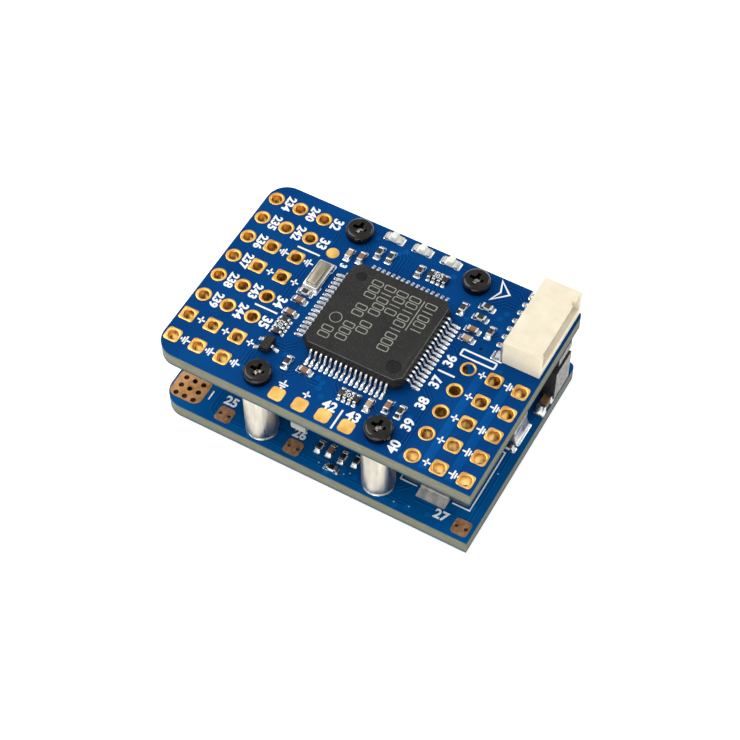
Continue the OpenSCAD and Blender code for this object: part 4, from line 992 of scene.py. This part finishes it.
postBoxes = islands("posts")
postRadius = (postBoxes[0][1] - postBoxes[0][0])[0] / 2
postLook = {"foot": 0.36, "top": 0.06, "spigot": 1.1, "thread": 0.72, "depth": 3.4}
ease = [(1 - math.cos(t), 1 - math.sin(t)) for t in np.linspace(0, math.pi / 2, 5)]
rise = undersideZ - powerZ
profile = [(postLook["spigot"], -powerZ + 0.002), (postLook["spigot"], 0)]
profile += [(postRadius - postLook["foot"] * c, postLook["foot"] * s) for c, s in ease[::-1]]
profile += [(postRadius - postLook["top"] * c, rise - postLook["top"] * s) for c, s in ease]
profile += [(postLook["thread"], rise), (postLook["thread"], rise - postLook["depth"])]
posts = [turnedSolid(*middle(box)[:2], powerZ, profile, 48) for box in postBoxes]
ring = [
    (postRadius + 0.02, -0.01), (postRadius, 0.02), (postRadius - 0.12, 0.04), (postRadius - 0.24, 0.1),
    (postLook["spigot"], 0.12)
]
collars = [turnedSolid(*middle(box)[:2], powerZ, ring, 48) for box in postBoxes]
makePiece("tinnedPosts", [(posts, tinnedPost), (collars, solder)], 40, replaces=["posts"])
print("posts made")

# Printing: the height of the figures and signs, and how far from its pad each one stands
silk = []
silkLook = {
    "wire": 1.35, "wideWire": 1.32, "wireSign": 1.33, "servo": 1.83, "side": 1.18, "wideHeight": 0.88, "height": 1.0,
    "bold": 0.045, "bar": 0.2, "rise": 0.03, "sign": 0.17
}


# A ground sign, a stem on three bars that grow shorter, or a plus sign, turned and centred
def sign(kind, x, y, angle, z, size=0.9):
    strokes = {"ground": [[(0, 0.5), (0, 0.02)], [(-0.5, 0), (0.5, 0)], [(-0.32, -0.25), (0.32, -0.25)],
        [(-0.13, -0.5), (0.13, -0.5)]],
               "plus": [[(-0.42, 0), (0.42, 0)], [(0, -0.42), (0, 0.42)]]}[kind]
    a = math.radians(angle)
    spin = np.array([[math.cos(a), math.sin(a)], [-math.sin(a), math.cos(a)]])
    return [ribbon(np.array(s) * size @ spin + [x, y], silkLook["sign"], silkLook["rise"], z,
        edge=0.02) for s in strokes]


numbers = {}


# A number on a face. Its shape is made once for each height
def number(value, x, y, angle, z, height=silkLook["height"]):
    if (value, height) not in numbers:
        numbers[value, height] = figures(str(value), height, silkLook["bold"])
    silk.append(setFigures(numbers[value, height], x, y, z + 0.01, angle))


wireNumbers = iter([n for n in range(234, 300) if "1" not in str(n)])
padNumbers = iter([n for n in range(32, 60) if "1" not in str(n)])
for x, y, kind, half in sorted(plated, key=lambda pad: (pad[0], -pad[1])):
    if x < 0 and kind == "round":
        if x < columnsX[2] - 0.5:
            number(next(wireNumbers), x + silkLook["wideWire"], y, -90, topZ, silkLook["wideHeight"])
        else:
            number(next(padNumbers), x + silkLook["wire"], y, -90, topZ)
    elif x < 0:
        silk += sign("plus" if kind == "square" else "ground", x + silkLook["wireSign"], y, -90, topZ)
    elif kind == "round":
        number(next(padNumbers), x - silkLook["servo"], y, 90, topZ)
    else:
        silk += sign("plus" if x < columnsX[-1] - 1 else "ground", x - silkLook["side"], y, 90, topZ)
edgeRow = [middle(box) for box in islands("edge_pads") if middle(box)[1] < -8]
for k, (x, y, z) in enumerate(sorted(edgeRow, key=lambda p: p[0])):
    if k < 2:
        silk += sign(("ground", "plus")[k], x, y + silkLook["side"], 0, topZ)
    else:
        number(next(padNumbers), x, y + silkLook["side"], 0, topZ)

# Lines and outlines: (points, closed), on the processor board and on the power board
drawnLines = [
    ([(-10.25, -2.48), (-7.93, -2.48)], False), ([(-10.25, 5.01), (-7.93, 5.01)], False),
    ([(7.38, -0.87), (9.02, -0.87)], False), ([(2.27, -10.7), (2.27, -8.57)], False),
    ([(7.83, 8.15), (8.3, 9.3), (7.9, 10.5), (9.15, 9.4)], True), (roundRect(1.65, 0.34, 0.1, 3) + [9.95, 1.84], True)
]
silk += [ribbon(points, silkLook["bar"], silkLook["rise"], topZ, edge=0.03, closed=closed) for points,
    closed in drawnLines]
number(3, -5.5, 5.05, -90, topZ, 0.7)
for value, x, y in ((25, -9.8, -8.13), (26, -2.55, -8.12), (27, 12.5, -9.4)):
    number(value, x, y, 0, powerZ, 1.0)
silk.append(ribbon([(-11.8, -8.95), (-11.8, -7.95)], 0.17, silkLook["rise"], powerZ))
chokeX, chokeY = middle(max(chokes, key=lambda box: np.ptp(box[:, 0])))[:2]
frameLook = {"half": 3.45, "gap": 1.75, "width": 0.15}
for x, y in ((-1, 1), (1, 1), (-1, -1), (1, -1)):
    sideX, sideY = chokeX + x * frameLook["half"], chokeY + y * frameLook["half"]
    silk.append(
        ribbon(
            [(chokeX + x * frameLook["gap"], sideY), (sideX, sideY), (sideX, chokeY)], frameLook["width"],
            silkLook["rise"], powerZ))
makePiece("silkscreen", [(silk, whiteInk)])
print("silkscreen made", len(silk))

cameraLook = {
    "place": (0.048992, -0.085641, 0.144742), "right": (0.87168, 0.49005, -0.00474),
    "up": (-0.39956, 0.71625, 0.57213), "lens": 92.18
}
camera = bpy.data.objects.new("camera", bpy.data.cameras.new("camera"))
right, up = Vector(cameraLook["right"]).normalized(), Vector(cameraLook["up"]).normalized()
back = right.cross(up)
camera.matrix_world = Matrix.Translation(cameraLook["place"]) @ Matrix((right, up, back)).transposed().to_4x4()
camera.data.lens = cameraLook["lens"]
camera.data.sensor_width = 36
camera.data.clip_start = 0.005
bpy.context.scene.collection.objects.link(camera)
bpy.context.scene.camera = camera

# Soft lights: (place, size, power), all turned to the middle of the boards. The side one is not seen in reflections.
lightLook = {
    "key": ((-0.24, 0.02, 0.34), 0.26, 0.78), "fill": ((0.08, -0.4, 0.1), 0.3, 0.6),
    "side": ((-0.34, -0.24, 0.08), 0.2, 0.5), "back": ((0.16, 0.3, 0.26), 0.2, 0.3)
}
for name, (spot, size, power) in lightLook.items():
    lamp = bpy.data.lights.new(name, "AREA")
    lamp.shape, lamp.size, lamp.energy = "SQUARE", size, power
    holder = bpy.data.objects.new(name, lamp)
    holder.location = spot
    holder.visible_glossy = name != "side"
    holder.rotation_euler = (-Vector(spot)).to_track_quat("-Z", "Y").to_euler()
    bpy.context.scene.collection.objects.link(holder)
roomLook = {"sky": 0.68, "floorGlow": 0.45, "floor": 2}
world = bpy.data.worlds.new("paleRoom")
world.use_nodes = True
sky = world.node_tree.nodes["Background"].inputs
sky["Color"].default_value, sky["Strength"].default_value = (1, 1, 1, 1), roomLook["sky"]
bpy.context.scene.world = world
bpy.context.scene.view_settings.view_transform = "Standard"

paleFloor = newMaterial(
    "paleFloor", Roughness=0.8, Specular_IOR_Level=0.1, Emission_Color=(1, 1, 1, 1),
    Emission_Strength=roomLook["floorGlow"])
patches = useGroup(paleFloor, mottle, Scale=6.0, Dark=tint(250, 250, 250), Light=tint(254, 254, 254))
setShader(paleFloor, Base_Color=patches["Color"])
floorMesh = bpy.data.meshes.new("floor")
corners = [(x * roomLook["floor"], y * roomLook["floor"], -0.0002) for x, y in ((-1, -1), (1, -1), (1, 1), (-1, 1))]
floorMesh.from_pydata(corners, [], [(0, 1, 2, 3)])
floorMesh.materials.append(paleFloor)
floor = bpy.data.objects.new("floor", floorMesh)
bpy.context.scene.collection.objects.link(floor)
print("camera, lights and floor set")

bpy.context.view_layer.update()
